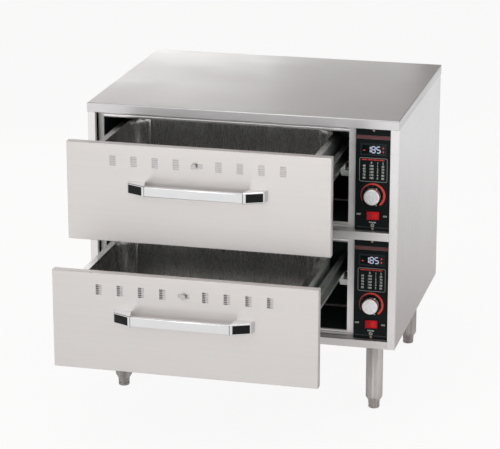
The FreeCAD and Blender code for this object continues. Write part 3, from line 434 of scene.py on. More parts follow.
@dataclass(frozen=True)
class Lit(Finish):
    """Glowing plastic: a coloured body with its lamp behind one end."""

    glow: Colour = (1.0, 0.1, 0.05)
    hot: Colour = (1.0, 0.4, 0.2)
    strength: float = 0.6
    lamp: Place = (0, 0, 0)
    reach: float = 0.019

    def wire(self, bench: NodeBench) -> None:
        """Wires a glow that falls off from the lamp, through ribbed plastic."""
        away = bench.length(bench.place(start=self.lamp))
        ribs = bench.noise(bench.place((1, 0.2, 0.2)), 420, 3, 0.6)
        near = bench.spread(away, 0.75, 0.0, 0, self.reach)
        level = bench.sums(near, bench.spread(ribs, 0, 0.25))
        stops = [(0.0, shaded(self.glow, 0.35)), (0.45, self.glow), (1.0, self.hot)]
        bench.set("Emission Color", bench.tint(level, stops))
        bench.set("Emission Strength", self.strength)
        self.mottled(bench, ribs, 0.2)
        self.worn(bench, ribs, 0, 0.08)
        bench.set("Specular IOR Level", 0.15)
        bench.bump(ribs, 0.08, 0.1 * MM)


@dataclass(frozen=True)
class HotSheath(Finish):
    """Sheath of a heating rod, mottled and tinted by heat."""

    def wire(self, bench: NodeBench) -> None:
        """Wires heat tints and scale."""
        scale = bench.noise(bench.place((0.3, 1, 1)), 120, 6, 0.7)
        bench.set("Metallic", 0.9)
        tints = [(0.3, shaded(self.colour, 0.6)), (0.5, self.colour),
                 (0.62, (0.20, 0.13, 0.09)), (0.8, (0.13, 0.13, 0.17))]
        bench.set("Base Color", bench.tint(scale, tints))
        self.worn(bench, scale, 0.1, 0.1)
        bench.bump(scale, 0.25, 0.15 * MM)


@dataclass(frozen=True)
class Wool(Finish):
    """Felted mineral fibre."""

    def wire(self, bench: NodeBench) -> None:
        """Wires loose fibres and soft lumps."""
        fibres = bench.noise(bench.place((1, 0.15, 0.4)), 700, 8, 0.75)
        lumps = bench.noise(bench.place(), 60, 4, 0.6)
        self.mottled(bench, bench.spread(bench.sums(fibres, lumps), 0, 1, 0.7, 1.3), 0.3)
        bench.set("Roughness", self.roughness)
        bench.set("Sheen Weight", 0.3)
        bench.bump(bench.sums(fibres, lumps), 0.8, 1.5 * MM)


class Steel:
    """The cabinet's metals."""

    top = BrushedSteel("top_sheet_steel", (0.62, 0.61, 0.615), 0.36, Grain.ACROSS)
    # The side sheets' front folds, the stiles, carry a painted highlight in the lighter fold colour.
    side = SteelWithPaintedFoldHighlight("side_sheet_steel", (0.63, 0.622, 0.625), 0.25, Grain.UPRIGHT, pull=0.0,
                       fold_front=-97.75 * MM, fold_highlight_colour=(0.80, 0.785, 0.785))
    rail = BrushedSteel("front_rail_steel", (0.70, 0.68, 0.675), 0.40, Grain.ACROSS)
    front = BrushedSteel("drawer_front_steel", (0.66, 0.637, 0.626), 0.42, Grain.ACROSS, contrast=0.012)
    # The mouth trim's colour is set far lighter than the other stainless sheets: painted light, so the trim
    # reads bright.
    trim = BrushedSteel("mouth_trim_steel_painted_light", (0.90, 0.885, 0.885), 0.52, Grain.UPRIGHT, 900.0, pull=0.8)
    inner = BrushedSteel("inner_front_steel", (0.50, 0.50, 0.50), 0.30, Grain.ACROSS)
    back = MilledSheet("back_sheet", (0.55, 0.56, 0.57), 0.45)
    # The cavity liner's near-black colour is painted shade: the dark of the unlit bays, not the liner's own
    # colour.
    cavity = MilledSheet("cavity_sheet_painted_shade", (0.13, 0.165, 0.165), 0.46, 90.0)
    bead = Plated("mouth_bead_bright", (0.92, 0.91, 0.91), 0.34)
    slide = MilledSheet("slide_zinc", (0.54, 0.57, 0.555), 0.38, 220.0)
    pan = BrushedSteel("drawn_pan_steel", (0.55, 0.55, 0.54), 0.26, Grain.UPRIGHT, 700.0, 0.05)
    # Legs and feet: at a colour contrast of 0.42 the upright streaks are painted reflections, light and dark
    # bands round the tubes, over the real drawn grain.
    leg = BrushedSteel("leg_steel_painted_reflection_bands", (0.50, 0.485, 0.475), 0.24, Grain.UPRIGHT, 800.0, 0.42,
                       scratch_depth=0.02, pull=0.85, upright_pull=True)
    foot = BrushedSteel("foot_steel_painted_reflection_bands", (0.46, 0.445, 0.435), 0.24, Grain.UPRIGHT, 800.0, 0.42,
                        pull=0.8, upright_pull=True)
    chrome = Plated("bright_chrome_plate", (0.76, 0.765, 0.775), 0.09)
    screw = Plated("screw_zinc", (0.52, 0.51, 0.49), 0.25)
    brass_screw = Plated("panel_screw_passivated", (0.42, 0.36, 0.27), 0.30)
    vent_knob = Plated("vent_knob_plated", (0.55, 0.53, 0.53), 0.24)
    spindle = Plated("spindle_turned_steel", (0.6, 0.6, 0.61), 0.22)
    casing = MilledSheet("thermostat_casing", (0.62, 0.62, 0.62), 0.40, 300.0)
    sheath = HotSheath("heating_rod_sheath", (0.24, 0.23, 0.22), 0.45)


class Plastic:
    """The cabinet's plastics, paints and inks."""

    panel = Paint("control_panel_black", (0.0025, 0.0065, 0.0075), 0.38, gloss=0.14)
    skirt = Paint("knob_skirt_black", (0.002, 0.003, 0.003), 0.34, gloss=0.15)
    inlay = Paint("handle_inlay_gloss", (0.002, 0.003, 0.003), 0.15, skin_depth=0.03, gloss=0.2)
    bezel = Paint("display_bezel_satin", (0.012, 0.020, 0.022), 0.32, skin_depth=0.05, gloss=0.2)
    switch = Paint("switch_body_moulded", (0.004, 0.008, 0.009), 0.42, gloss=0.15)
    nylon = Paint("roller_nylon", (0.80, 0.79, 0.74), 0.38, 700.0, 0.1, 0.05)
    bushing = Paint("gland_moulded_black", (0.014, 0.014, 0.015), 0.5)
    gasket = Paint("bar_gasket_rubber", (0.016, 0.016, 0.018), 0.6, gloss=0.2)
    pane = Paint("display_pane_smoked", (0.003, 0.006, 0.007), 0.10, skin_depth=0.02, gloss=0.25)
    wool = Wool("mineral_wool_batt", (0.62, 0.56, 0.40), 0.95)
    red = Ink("print_red", (0.58, 0.035, 0.022), 0.42)
    maroon = Ink("print_maroon", (0.16, 0.022, 0.026), 0.45)
    lens_mark = Ink("rocker_mark_dark_red", (0.012, 0.001, 0.002), 0.40)
    silver = Ink("print_silver", (0.30, 0.31, 0.30), 0.40)
    dull_silver = Ink("print_dull_silver", (0.17, 0.165, 0.16), 0.40)
    pale = Ink("print_pale", (0.62, 0.66, 0.60), 0.45)
    teal = Ink("print_teal_grey", (0.10, 0.17, 0.17), 0.45)
    digit = Glow("digit_glow", (0.60, 0.68, 0.90), 0.3, 0.8)
    ember = Glow("mark_glow", (0.80, 0.05, 0.03), 0.3, 0.9)


# ------------------------------------------------------------------ stage
@dataclass(frozen=True)
class ProductCamera:
    """Long-lens camera, right of the middle and above the top."""

    place: Place = (1.2453, -5.0001, 2.0131)
    yaw: float = 13.895
    pitch: float = 17.164
    lens: float = 161.16
    sensor: float = 36.0
    shift: float = -0.0112

    def build(self) -> None:
        """Makes the camera and gives it to the scene."""
        data = bpy.data.cameras.new("product_camera")
        data.lens = self.lens
        data.sensor_width = self.sensor
        data.shift_x = self.shift
        camera = bpy.data.objects.new("product_camera", data)
        camera.location = self.place
        camera.rotation_euler = (math.radians(90 - self.pitch), 0, math.radians(self.yaw))
        bpy.context.scene.collection.objects.link(camera)
        bpy.context.scene.camera = camera


@dataclass(frozen=True)
class Softbox:
    """One large, soft lamp."""

    name: str
    place: Place
    width: float
    height: float
    power: float

    def build(self, target: Vector) -> None:
        """Hangs the lamp and turns it to a target point."""
        data = bpy.data.lights.new(self.name, "AREA")
        data.shape = "RECTANGLE"
        data.size = self.width
        data.size_y = self.height
        data.energy = self.power
        lamp = bpy.data.objects.new(self.name, data)
        lamp.location = self.place
        lamp.rotation_euler = (target - lamp.location).to_track_quat("-Z", "Y").to_euler()
        bpy.context.scene.collection.objects.link(lamp)


@dataclass
class Studio:
    """Round pale floor that sweeps up to a low wall, soft lamps and the room's own light."""

    floor: float = 10.0
    sweep: float = 2.4
    white: float = 0.91
    # Painted shadow that metal sees on the paper: round this centre, its white share falls from white beyond
    # far to the near share inside near.
    shade: Point = (0.30, 0.35)
    painted_shadow_white: float = 0.10
    near: float = 0.35
    far: float = 2.1
    steps: int = 72
    paper_colour: Colour = (0.90, 0.875, 0.865)
    room_strength: float = 0.85
    bright_side: Place = (-0.52, 0.83, 0.20)
    target: Vector = field(default_factory=lambda: Vector((0, 0, 0.4)))
    lamps: tuple[Softbox, ...] = (
        Softbox("key_softbox", (-3.0, -4.7, 4.4), 5.0, 4.0, 108),
        Softbox("overhead_softbox", (0.2, -0.6, 3.8), 2.6, 2.0, 30),
        Softbox("fill_softbox", (4.0, -3.2, 2.7), 3.8, 3.0, 36),
        Softbox("front_softbox", (-0.6, -5.8, 0.9), 2.8, 1.2, 26),
        Softbox("rake_softbox", (-1.42, 2.0, 1.05), 2.1, 0.5, 4.6),
        Softbox("low_softbox", (-0.42, 1.15, 0.93), 1.25, 0.16, 0.8),
    )

    # The room's colour by how squarely it faces the bright side: both ends, the greys between them
    # (place and red), and the shares of green and blue in those greys.
    ROOM_ENDS = ((0.50, 0.475, 0.468), (0.9, 0.9, 0.9))
    ROOM_GREYS = ((0.45, 0.38), (0.72, 0.26), (0.88, 0.26), (0.97, 0.72))
    ROOM_WARMTH = (0.94, 0.92)

    def build(self) -> None:
        """Builds the sweep, the lamps and the world."""
        self.build_sweep()
        for lamp in self.lamps:
            lamp.build(self.target)
        self.build_room()
        bpy.context.scene.view_settings.view_transform = "Standard"

    def build_sweep(self) -> None:
        """Builds the floor and the wall round it as one turned sheet."""
        turn = [math.radians(a) for a in range(0, 91, 9)]
        line = [(self.floor / 3, 0.0), (self.floor * 2 / 3, 0.0)]
        line += [(self.floor + self.sweep * math.sin(a), self.sweep * (1 - math.cos(a))) for a in turn]
        bm = bmesh.new()
        middle_point = bm.verts.new((0, 0, 0))
        rows = [[bm.verts.new((*clock(r, 360 * i / self.steps), z)) for i in range(self.steps)]
                for r, z in line]
        for i in range(self.steps):
            j = (i + 1) % self.steps
            bm.faces.new((middle_point, rows[0][j], rows[0][i]))
            for low, high in zip(rows, rows[1:]):
                bm.faces.new((low[i], low[j], high[j], high[i]))
        for face in bm.faces:
            face.smooth = True
        bmesh.ops.recalc_face_normals(bm, faces=bm.faces)
        mesh = bpy.data.meshes.new("studio_sweep")
        bm.to_mesh(mesh)
        bm.free()
        sweep = bpy.data.objects.new("studio_sweep", mesh)
        sweep.data.materials.append(self.paper())
        bpy.context.scene.collection.objects.link(sweep)

    def paper(self) -> bpy.types.Material:
        """White paper that stays white to the lens and still takes the object's shadow; to metal it is white
        far off, with a painted shadow that darkens it towards the object.
        """
        made = bpy.data.materials.new("studio_paper")
        made.use_nodes = True
        bench = NodeBench(made.node_tree)
        bench.set("Base Color", (*self.paper_colour, 1))
        bench.set("Roughness", 0.9)
        bench.set("Specular IOR Level", 0.1)
        white = bench.add("ShaderNodeEmission", {"Strength": 1.0})[0]
        rays = bench.add("ShaderNodeLightPath")
        away = bench.length(bench.place(start=(*self.shade, 0)))
        # Painted shadow in the paper's reflections: the white share that metal sees darkens towards the
        # object.
        mirrored_white_with_painted_shadow = bench.spread(away, self.painted_shadow_white, self.white, self.near, self.far)
        mirrored = bench.sums(rays["Is Glossy Ray"], rays["Is Transmission Ray"])
        direct = bench.product(rays["Is Camera Ray"], self.white)
        share = bench.sums(direct, bench.product(mirrored, mirrored_white_with_painted_shadow))
        mix = bench.add("ShaderNodeMixShader", {0: share, 1: bench.shader.outputs[0], 2: white})[0]
        output = next(n for n in made.node_tree.nodes if n.type == "OUTPUT_MATERIAL")
        bench.fill(output.inputs["Surface"], mix)
        return made

    def build_room(self) -> None:
        """Gives the world a bright side low behind the left shoulder and a greyer patch round it."""
        world = bpy.data.worlds.new("studio_room")
        world.use_nodes = True
        bpy.context.scene.world = world
        world.node_tree.nodes.clear()
        bench = NodeBench(world.node_tree)
        sides = {0: bench.add("ShaderNodeTexCoord")["Generated"], 1: Vector(self.bright_side).normalized()}
        facing = bench.add("ShaderNodeVectorMath", sides, operation="DOT_PRODUCT")["Value"]
        first, last = self.ROOM_ENDS
        greys = [(at, (grey, *(grey * share for share in self.ROOM_WARMTH))) for at, grey in self.ROOM_GREYS]
        colour = bench.tint(facing, [(0.0, first), *greys, (1.0, last)])
        inputs = {"Strength": self.room_strength, "Color": colour}
        room = bench.add("ShaderNodeBackground", inputs)[0]
        bench.add("ShaderNodeOutputWorld", {"Surface": room})


# ------------------------------------------------------------------ workshop
class Facing(Enum):
    """How a piece's own frame stands in the part: its x axis, its y axis and its outward axis."""

    FRONT = ((1, 0, 0), (0, 0, 1), (0, -1, 0))
    BACK = ((-1, 0, 0), (0, 0, 1), (0, 1, 0))
    RIGHT = ((0, 1, 0), (0, 0, 1), (1, 0, 0))
    UP = ((1, 0, 0), (0, 1, 0), (0, 0, 1))
    DOWN = ((1, 0, 0), (0, -1, 0), (0, 0, -1))

    def at(self, place: Sequence[float]) -> Matrix:
        """Matrix that carries the piece's own frame to a place in the part."""
        return Matrix.Translation(place) @ Matrix(self.value).transposed().to_4x4()


def disc(radius: float, steps: int = 24, x: float = 0, y: float = 0) -> list[Point]:
    """Outline of a round disc."""
    turns = [2 * math.pi * i / steps for i in range(steps)]
    return [(x + radius * math.cos(a), y + radius * math.sin(a)) for a in turns]


def plate(width: float, height: float, radius: float = 0, x: float = 0, y: float = 0) -> list[Point]:
    """Outline of a rectangle with round corners, about a middle.

    Args:
        width: size along x.
        height: size along y.
        radius: corner radius, or 0.
        x: the middle's place along x.
        y: the middle's place along y.

    Returns:
        The outline's points, anticlockwise.
    """
    corners = ((1, 1, 0), (-1, 1, 90), (-1, -1, 180), (1, -1, 270))
    if not radius:
        return [(x + sx * width / 2, y + sy * height / 2) for sx, sy, _ in corners]
    outline = []
    for sx, sy, start in corners:
        for step in range(CORNER_STEPS + 1):
            turn = math.radians(start + 90 * step / CORNER_STEPS)
            outline.append((x + sx * (width / 2 - radius) + radius * math.cos(turn),
                            y + sy * (height / 2 - radius) + radius * math.sin(turn)))
    return outline


def clock(radius: float, degrees: float) -> Point:
    """Point at a radius, turned clockwise from the top."""
    turn = math.radians(degrees)
    return radius * math.sin(turn), radius * math.cos(turn)


class Workpiece:
    """One piece under the tools, in its own frame: x to the right, y up and z out of the surface."""

    # A screw's head, as shares of its radius and height.
    DOME = ((1.0, 0.0), (1.0, 0.25), (0.93, 0.55), (0.8, 0.8), (0.62, 0.96))
    CROSS_ARM = 0.50
    CROSS_HALF = 0.10
    CROSS_FLOOR = 0.3

    def __init__(self, name: str, frame: Matrix) -> None:
        """Starts an empty piece, with the matrix from its own frame to the part's."""
        self.name = name
        self.frame = frame
        self.bm = bmesh.new()

    def ring(self, outline: Sequence[Point], height: float) -> list[Vert]:
        """Sets one loop of points at a height."""
        return [self.bm.verts.new((x, y, height)) for x, y in outline]

    def wall(self, low: Sequence[Vert], high: Sequence[Vert], closed: bool = True) -> None:
        """Closes the strip between two loops of as many points."""
        count = len(low) if closed else len(low) - 1
        for i in range(count):
            j = (i + 1) % len(low)
            self.bm.faces.new((low[i], low[j], high[j], high[i]))

    def prism(self, outline: Sequence[Point], low: float, high: float, ease: float = 0) -> None:
        """Adds a solid of one outline between two heights.

        Args:
            outline: its points, anticlockwise.
            low: height of its foot.
            high: height of its face.
            ease: drop of the chamfer round its face, or 0.
        """
        foot = self.ring(outline, low)
        self.bm.faces.new(list(reversed(foot)))
        if ease:
            waist = self.ring(outline, high - ease)
            self.wall(foot, waist)
            foot = waist
            middle = Vector((sum(p[0] for p in outline), sum(p[1] for p in outline))) / len(outline)
            reach = max((Vector(p) - middle).length for p in outline)
            outline = [tuple(middle + (Vector(p) - middle) * (1 - ease / reach)) for p in outline]
        head = self.ring(outline, high)
        self.wall(foot, head)
        self.bm.faces.new(head)

    def band(self, outer: Sequence[Point], inner: Sequence[Point], low: float, high: float,
             closed: bool = True) -> None:
        """Adds a flat ring or arc between two outlines of as many points.

        Args:
            outer: the outer edge.
            inner: the inner edge.
            low: height of its foot.
            high: height of its face.
            closed: whether the ring closes on itself.
        """
        corners = ((inner, low), (outer, low), (outer, high), (inner, high))
        rows = [self.ring(edge, height) for edge, height in corners]
        for first, second in zip(rows, rows[1:] + rows[:1]):
            self.wall(first, second, closed)
        if not closed:
            self.bm.faces.new([row[0] for row in rows])
            self.bm.faces.new([row[-1] for row in reversed(rows)])

    def lathe(self, profile: Sequence[Point], steps: int = 48) -> None:
        """Adds a turned solid.

        Args:
            profile: radius and height of each point, from one end of the axis to the other.
            steps: facets round the axis.
        """
        rows = [self.ring(disc(radius, steps), height) if radius else
                [self.bm.verts.new((0, 0, height))] * steps for radius, height in profile]
        for low, high in zip(rows, rows[1:]):
            for i in range(steps):
                j = (i + 1) % steps
                corners = list(dict.fromkeys((low[i], low[j], high[j], high[i])))
                if len(corners) > 2:
                    self.bm.faces.new(corners)

    def pan_head(self, x: float, y: float, radius: float, height: float) -> None:
        """Adds a screw's domed head with a cross recess.

        Args:
            x: the screw's place along x.
            y: the screw's place along y.
            radius: the head's radius.
            height: the head's height.
        """
        rows = [self.ring(disc(radius * r, 24, x, y), height * h) for r, h in self.DOME]
        for low, high in zip(rows, rows[1:]):
            self.wall(low, high)
        arm, half = self.CROSS_ARM * radius, self.CROSS_HALF * radius
        corner = ((arm, half), (half, half), (half, arm))
        cross = []
        for turn in range(4):
            for u, v in corner:
                for _ in range(turn):
                    u, v = -v, u
                cross.append((x + u, y + v))
        top = self.ring(cross, height * self.DOME[-1][1])
        floor = self.ring(cross, height * self.CROSS_FLOOR)
        self.wall(floor, top)
        self.bm.faces.new(floor)
        self.bm.faces.new(list(reversed(rows[0])))
        edges = [e for loop in (rows[-1], top) for e in self.loop_edges(loop)]
        bmesh.ops.triangle_fill(self.bm, use_beauty=True, edges=edges)

    @staticmethod
    def loop_edges(loop: Sequence[Vert]) -> list[bmesh.types.BMEdge]:
        """Edges of a closed loop of points."""
        found = []
        for i, vert in enumerate(loop):
            other = loop[(i + 1) % len(loop)]
            found.append(next(e for e in vert.link_edges if e.other_vert(vert) is other))
        return found

    def words(self, text: str, size: float, x: float, y: float, thickness: float) -> None:
        """Adds printed letters or numbers, centred on a point.

        Args:
            text: what they say.
            size: height of the type.
            x: the middle's place along x.
            y: the middle's place along y.
            thickness: thickness of the print.
        """
        curve = bpy.data.curves.new("type", "FONT")
        curve.body = text
        curve.size = size
        curve.align_x = "CENTER"
        curve.align_y = "CENTER"
        curve.resolution_u = 2
        curve.extrude = thickness / 2
        curve.offset = TYPE_WEIGHT
        holder = bpy.data.objects.new("type", curve)
        mesh = bpy.data.meshes.new_from_object(holder)
        mesh.transform(Matrix.Translation((x, y, thickness / 2)))
        self.bm.from_mesh(mesh)
        bpy.data.objects.remove(holder)
        bpy.data.curves.remove(curve)
        bpy.data.meshes.remove(mesh)

    def build(self, finish: Finish, body: str, slot: str, replaces: Sequence[str] = ()) -> None:
        """Takes the piece off the bench and mounts it.

        Args:
            finish: its finish.
            body: the body that it rides on.
            slot: the record's material slot that its finish belongs to; not used.
            replaces: nodes that it stands for.
        """
        bmesh.ops.transform(self.bm, matrix=self.frame, verts=self.bm.verts)
        bmesh.ops.recalc_face_normals(self.bm, faces=self.bm.faces)
        for face in self.bm.faces:
            face.smooth = True
        mesh = bpy.data.meshes.new(self.name)
        self.bm.to_mesh(mesh)
        self.bm.free()
        mesh.set_sharp_from_angle(angle=SHARP_ANGLE)
        mesh.materials.append(finish.material())
        piece = bpy.data.objects.new(self.name, mesh)
        bpy.context.scene.collection.objects.link(piece)
        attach(piece, body)
        if replaces:
            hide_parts(*replaces)
        LOG.info("built %s on %s", self.name, body)

    def print_on(self, ink: Finish) -> None:
        """Mounts the piece as a print on a control panel."""
        self.build(ink, "cabinet", "control_black")


def soften(piece: bpy.types.Object, width: float) -> None:
    """Joins the split corners of a solid and gives its sharp edges a small radius.

    Args:
        piece: a node's object.
        width: radius, in metres.
    """
    weld = piece.modifiers.new("join", "WELD")
    weld.merge_threshold = WELD_REACH
    edge = piece.modifiers.new("edges", "BEVEL")
    edge.width = width
    edge.segments = 2
    edge.limit_method = "ANGLE"
    edge.angle_limit = EASED_ANGLE
    edge.harden_normals = True


def dress(node: str, finish: Finish, radius: float = 0.0) -> None:
    """Gives a carried-over node its finish.

    Args:
        node: the node's name.
        finish: the finish for all its material slots.
        radius: radius given to its sharp edges in metres, or 0.
    """
    piece = bpy.data.objects[node]
    for slot in piece.material_slots:
        slot.material = finish.material()
    if radius:
        soften(piece, radius)
    LOG.info("dressed %s in %s", node, finish.name)


def middle(node: str) -> Vector:
    """Middle of a node's box."""
    low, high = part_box(node)
    return (low + high) / 2


# ------------------------------------------------------------------ control panel
@dataclass
class Fitted:
    """Sub-assembly that belongs to one bay."""

    bay: Bay

    def piece(self, part: str, frame: Matrix) -> Workpiece:
        """Starts a piece that is named after the bay."""
        return Workpiece(self.bay.node(part), frame)

    def dress_all(self, looks: Sequence[tuple[str, Finish, float]]) -> None:
        """Dresses the bay's nodes.

        Args:
            looks: node, finish and edge radius in millimetres.
        """
        for part, finish, radius in looks:
            dress(self.bay.node(part), finish, radius * MM)


@dataclass
class TemperatureDisplay(Fitted):
    """Window with three lit digits and small lit marks round them."""

    reading: str = "185"
    digit_height: float = 14.5 * MM
    digit_width: float = 8.0 * MM
    pitch: float = 11.6 * MM
    stroke: float = 2.1 * MM
    gap: float = 0.35 * MM
    window: Point = (54 * MM, 20.5 * MM)
    corner: float = 0.8 * MM
    pane: float = 0.35 * MM
    pane_ease: float = 0.2 * MM
    lit: float = 0.25 * MM

    SEGMENTS = {"0": "abcdef", "1": "bc", "2": "abged", "3": "abgcd", "4": "fgbc", "5": "afgcd",
                "6": "afgedc", "7": "abc", "8": "abcdefg", "9": "abcdfg"}
    # Width, height, corner radius and place of each mark, in millimetres.
    MARKS = ((4.4, 1.8, 0.4, -21.5, -2.4), (3.0, 3.4, 0.8, 23.0, -4.4), (1.3, 1.9, 0.4, -5.8, -5.6),
             (3.0, 3.4, 0.8, 23.0, 4.4), (1.3, 1.9, 0.4, -5.8, 5.6))

    def build(self) -> None:
        """Sets the pane in its bezel and lights the digits."""
        self.dress_all([("display", Plastic.bezel, 0.3)])
        low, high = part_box(self.bay.node("display"))
        face = Facing.FRONT.at(((low.x + high.x) / 2, low.y, (low.z + high.z) / 2))
        pane = self.piece("display_pane", face)
        pane.prism(plate(*self.window, self.corner), 0, self.pane, self.pane_ease)
        pane.build(Plastic.pane, "cabinet", "display_black")
        digits = self.piece("display_digits", face)
        for place, figure in enumerate(self.reading):
            self.digit(digits, figure, (place - 1) * self.pitch)
        digits.build(Plastic.digit, "cabinet", "display_black")
        marks = self.piece("display_marks", face)
        for mark in self.MARKS:
            marks.prism(plate(*(size * MM for size in mark)), self.pane, self.pane + self.lit)
        marks.build(Plastic.ember, "cabinet", "display_black")

    def digit(self, piece: Workpiece, figure: str, x: float) -> None:
        """Adds the lit strokes of one figure.

        Args:
            piece: the piece that takes them.
            figure: the figure.
            x: the figure's middle.
        """
        w, h, t = self.digit_width / 2, self.digit_height / 2, self.stroke
        ends = {"a": ((-w, h), (w, h)), "g": ((-w, 0), (w, 0)), "d": ((-w, -h), (w, -h)),
                "f": ((-w, h), (-w, 0)), "b": ((w, h), (w, 0)),
                "e": ((-w, 0), (-w, -h)), "c": ((w, 0), (w, -h))}
        for name in self.SEGMENTS[figure]:
            start, end = (Vector(p) for p in ends[name])
            along = (end - start).normalized()
            start, end = start + along * self.gap, end - along * self.gap
            side = Vector((-along.y, along.x)) * t / 2
            tip = along * t / 2
            outline = (start, start + tip - side, end - tip - side,
                       end, end - tip + side, start + tip + side)
            piece.prism([(x + p.x, p.y) for p in outline], self.pane, self.pane + self.lit)


@dataclass
class HoldingChart(Fitted):
    """Framed table of plain numbers printed on the panel."""

    drop: float = 100.5 * MM
    width: float = 66 * MM
    height: float = 57.5 * MM
    line: float = 1.1 * MM
    corner: float = 4.5 * MM
    ink: float = 0.08 * MM
    type_size: float = 6.6 * MM
    row_pitch: float = 7.3 * MM
    first_row: float = 9.0 * MM
    bar_drop: float = 4.6 * MM
    bar_height: float = 3.0 * MM
    bar_corner: float = 0.7 * MM

    ROWS = (("", "II", "1", "2"), ("60", "140", "1", "65"), ("65", "150", "2", "70"),
            ("70", "160", "3", "75"), ("75", "170", "4", "80"), ("80", "180", "5", "85"))
    COLUMNS = (-21.5 * MM, -4.5 * MM, 10.0 * MM, 22.5 * MM)
    # Place and width of each bar of the heading, in millimetres.
    BARS = ((-21, 13), (-7.5, 11), (3.5, 8), (11.5, 5), (20.5, 10))

    def build(self, face: Matrix) -> None:
        """Prints the frame, the heading and the numbers.

        Args:
            face: frame of the panel's face, with its origin on the upper edge.
        """
        here = face @ Matrix.Translation((0, -self.drop, 0))
        frame = self.piece("chart_frame", here)
        inset = 2 * self.line
        frame.band(plate(self.width, self.height, self.corner),
                   plate(self.width - inset, self.height - inset, self.corner - self.line), 0, self.ink)
        frame.print_on(Plastic.silver)
        heading = self.piece("chart_heading", here)
        top = self.height / 2 - self.bar_drop
        for x, width in self.BARS:
            heading.prism(plate(width * MM, self.bar_height, self.bar_corner, x * MM, top), 0, self.ink)
        heading.print_on(Plastic.red)
        table = self.piece("chart_numbers", here)
        for row, cells in enumerate(self.ROWS):
            y = self.height / 2 - self.first_row - self.type_size / 2 - row * self.row_pitch
            for x, cell in zip(self.COLUMNS, cells):
                table.words(cell, self.type_size, x, y, self.ink)
        table.print_on(Plastic.pale)


@dataclass
class DialScale(Fitted):
    """Printed arc round the dial, wider and brighter towards its hot end, with ticks inside it."""

    outer: float = 29.6 * MM
    thin: float = 2.3 * MM
    thick: float = 4.9 * MM
    widening: float = 1.35
    tip: float = 0.05 * MM
    start: float = -121.0
    end: float = 145.0
    steps: int = 72
    tick_radius: float = 23.2 * MM
    tick_reach: float = 1.1 * MM
    tick_half: float = 1.3
    off_dot: float = 1.7 * MM
    off_place: Point = (24.6 * MM, 161)
    ink: float = 0.1 * MM

    TICKS = range(-120, 121, 30)

    def build(self, dial: Vector) -> None:
        """Prints the arc, its ticks and the dot at off.

        Args:
            dial: the dial's middle on the panel's face.
        """
        here = Facing.FRONT.at(dial)
        arc = self.piece("dial_arc", here)
        arc.band(*self.arc_edges(), 0, self.ink, closed=False)
        arc.print_on(SweptInk(self.bay.node("dial_arc_ink"), (0.92, 0.055, 0.028), 0.42, tuple(dial)))
        ticks = self.piece("dial_ticks", here)
        inside, outside = self.tick_radius - self.tick_reach, self.tick_radius + self.tick_reach
        for turn in self.TICKS:
            low, high = turn - self.tick_half, turn + self.tick_half
            ticks.prism([clock(inside, low), clock(outside, low), clock(outside, high), clock(inside, high)],
                        0, self.ink)
        ticks.print_on(Plastic.teal)
        mark = self.piece("dial_off_mark", here)
        mark.prism(disc(self.off_dot, 16, *clock(*self.off_place)), 0, self.ink)
        mark.print_on(Plastic.pale)

    def arc_edges(self) -> tuple[list[Point], list[Point]]:
        """Outer and inner edge of the arc, with its hot end rounded off."""
        outer, inner = [], []
        for step in range(self.steps + 1):
            share = step / self.steps
            turn = self.start + (self.end - self.start) * share
            width = self.thin + (self.thick - self.thin) * min(1.0, share * self.widening)
            round_off = 1.0
            from_end = (1 - share) * math.radians(self.end - self.start) * self.outer
            if from_end < width / 2:
                round_off = math.sqrt(max(0.0, 1 - (1 - 2 * from_end / width) ** 2))
            middle_radius = self.outer - width / 2
            half = max(width / 2 * round_off, self.tip)
            outer.append(clock(middle_radius + half, turn))
            inner.append(clock(middle_radius - half, turn))
        return outer, inner


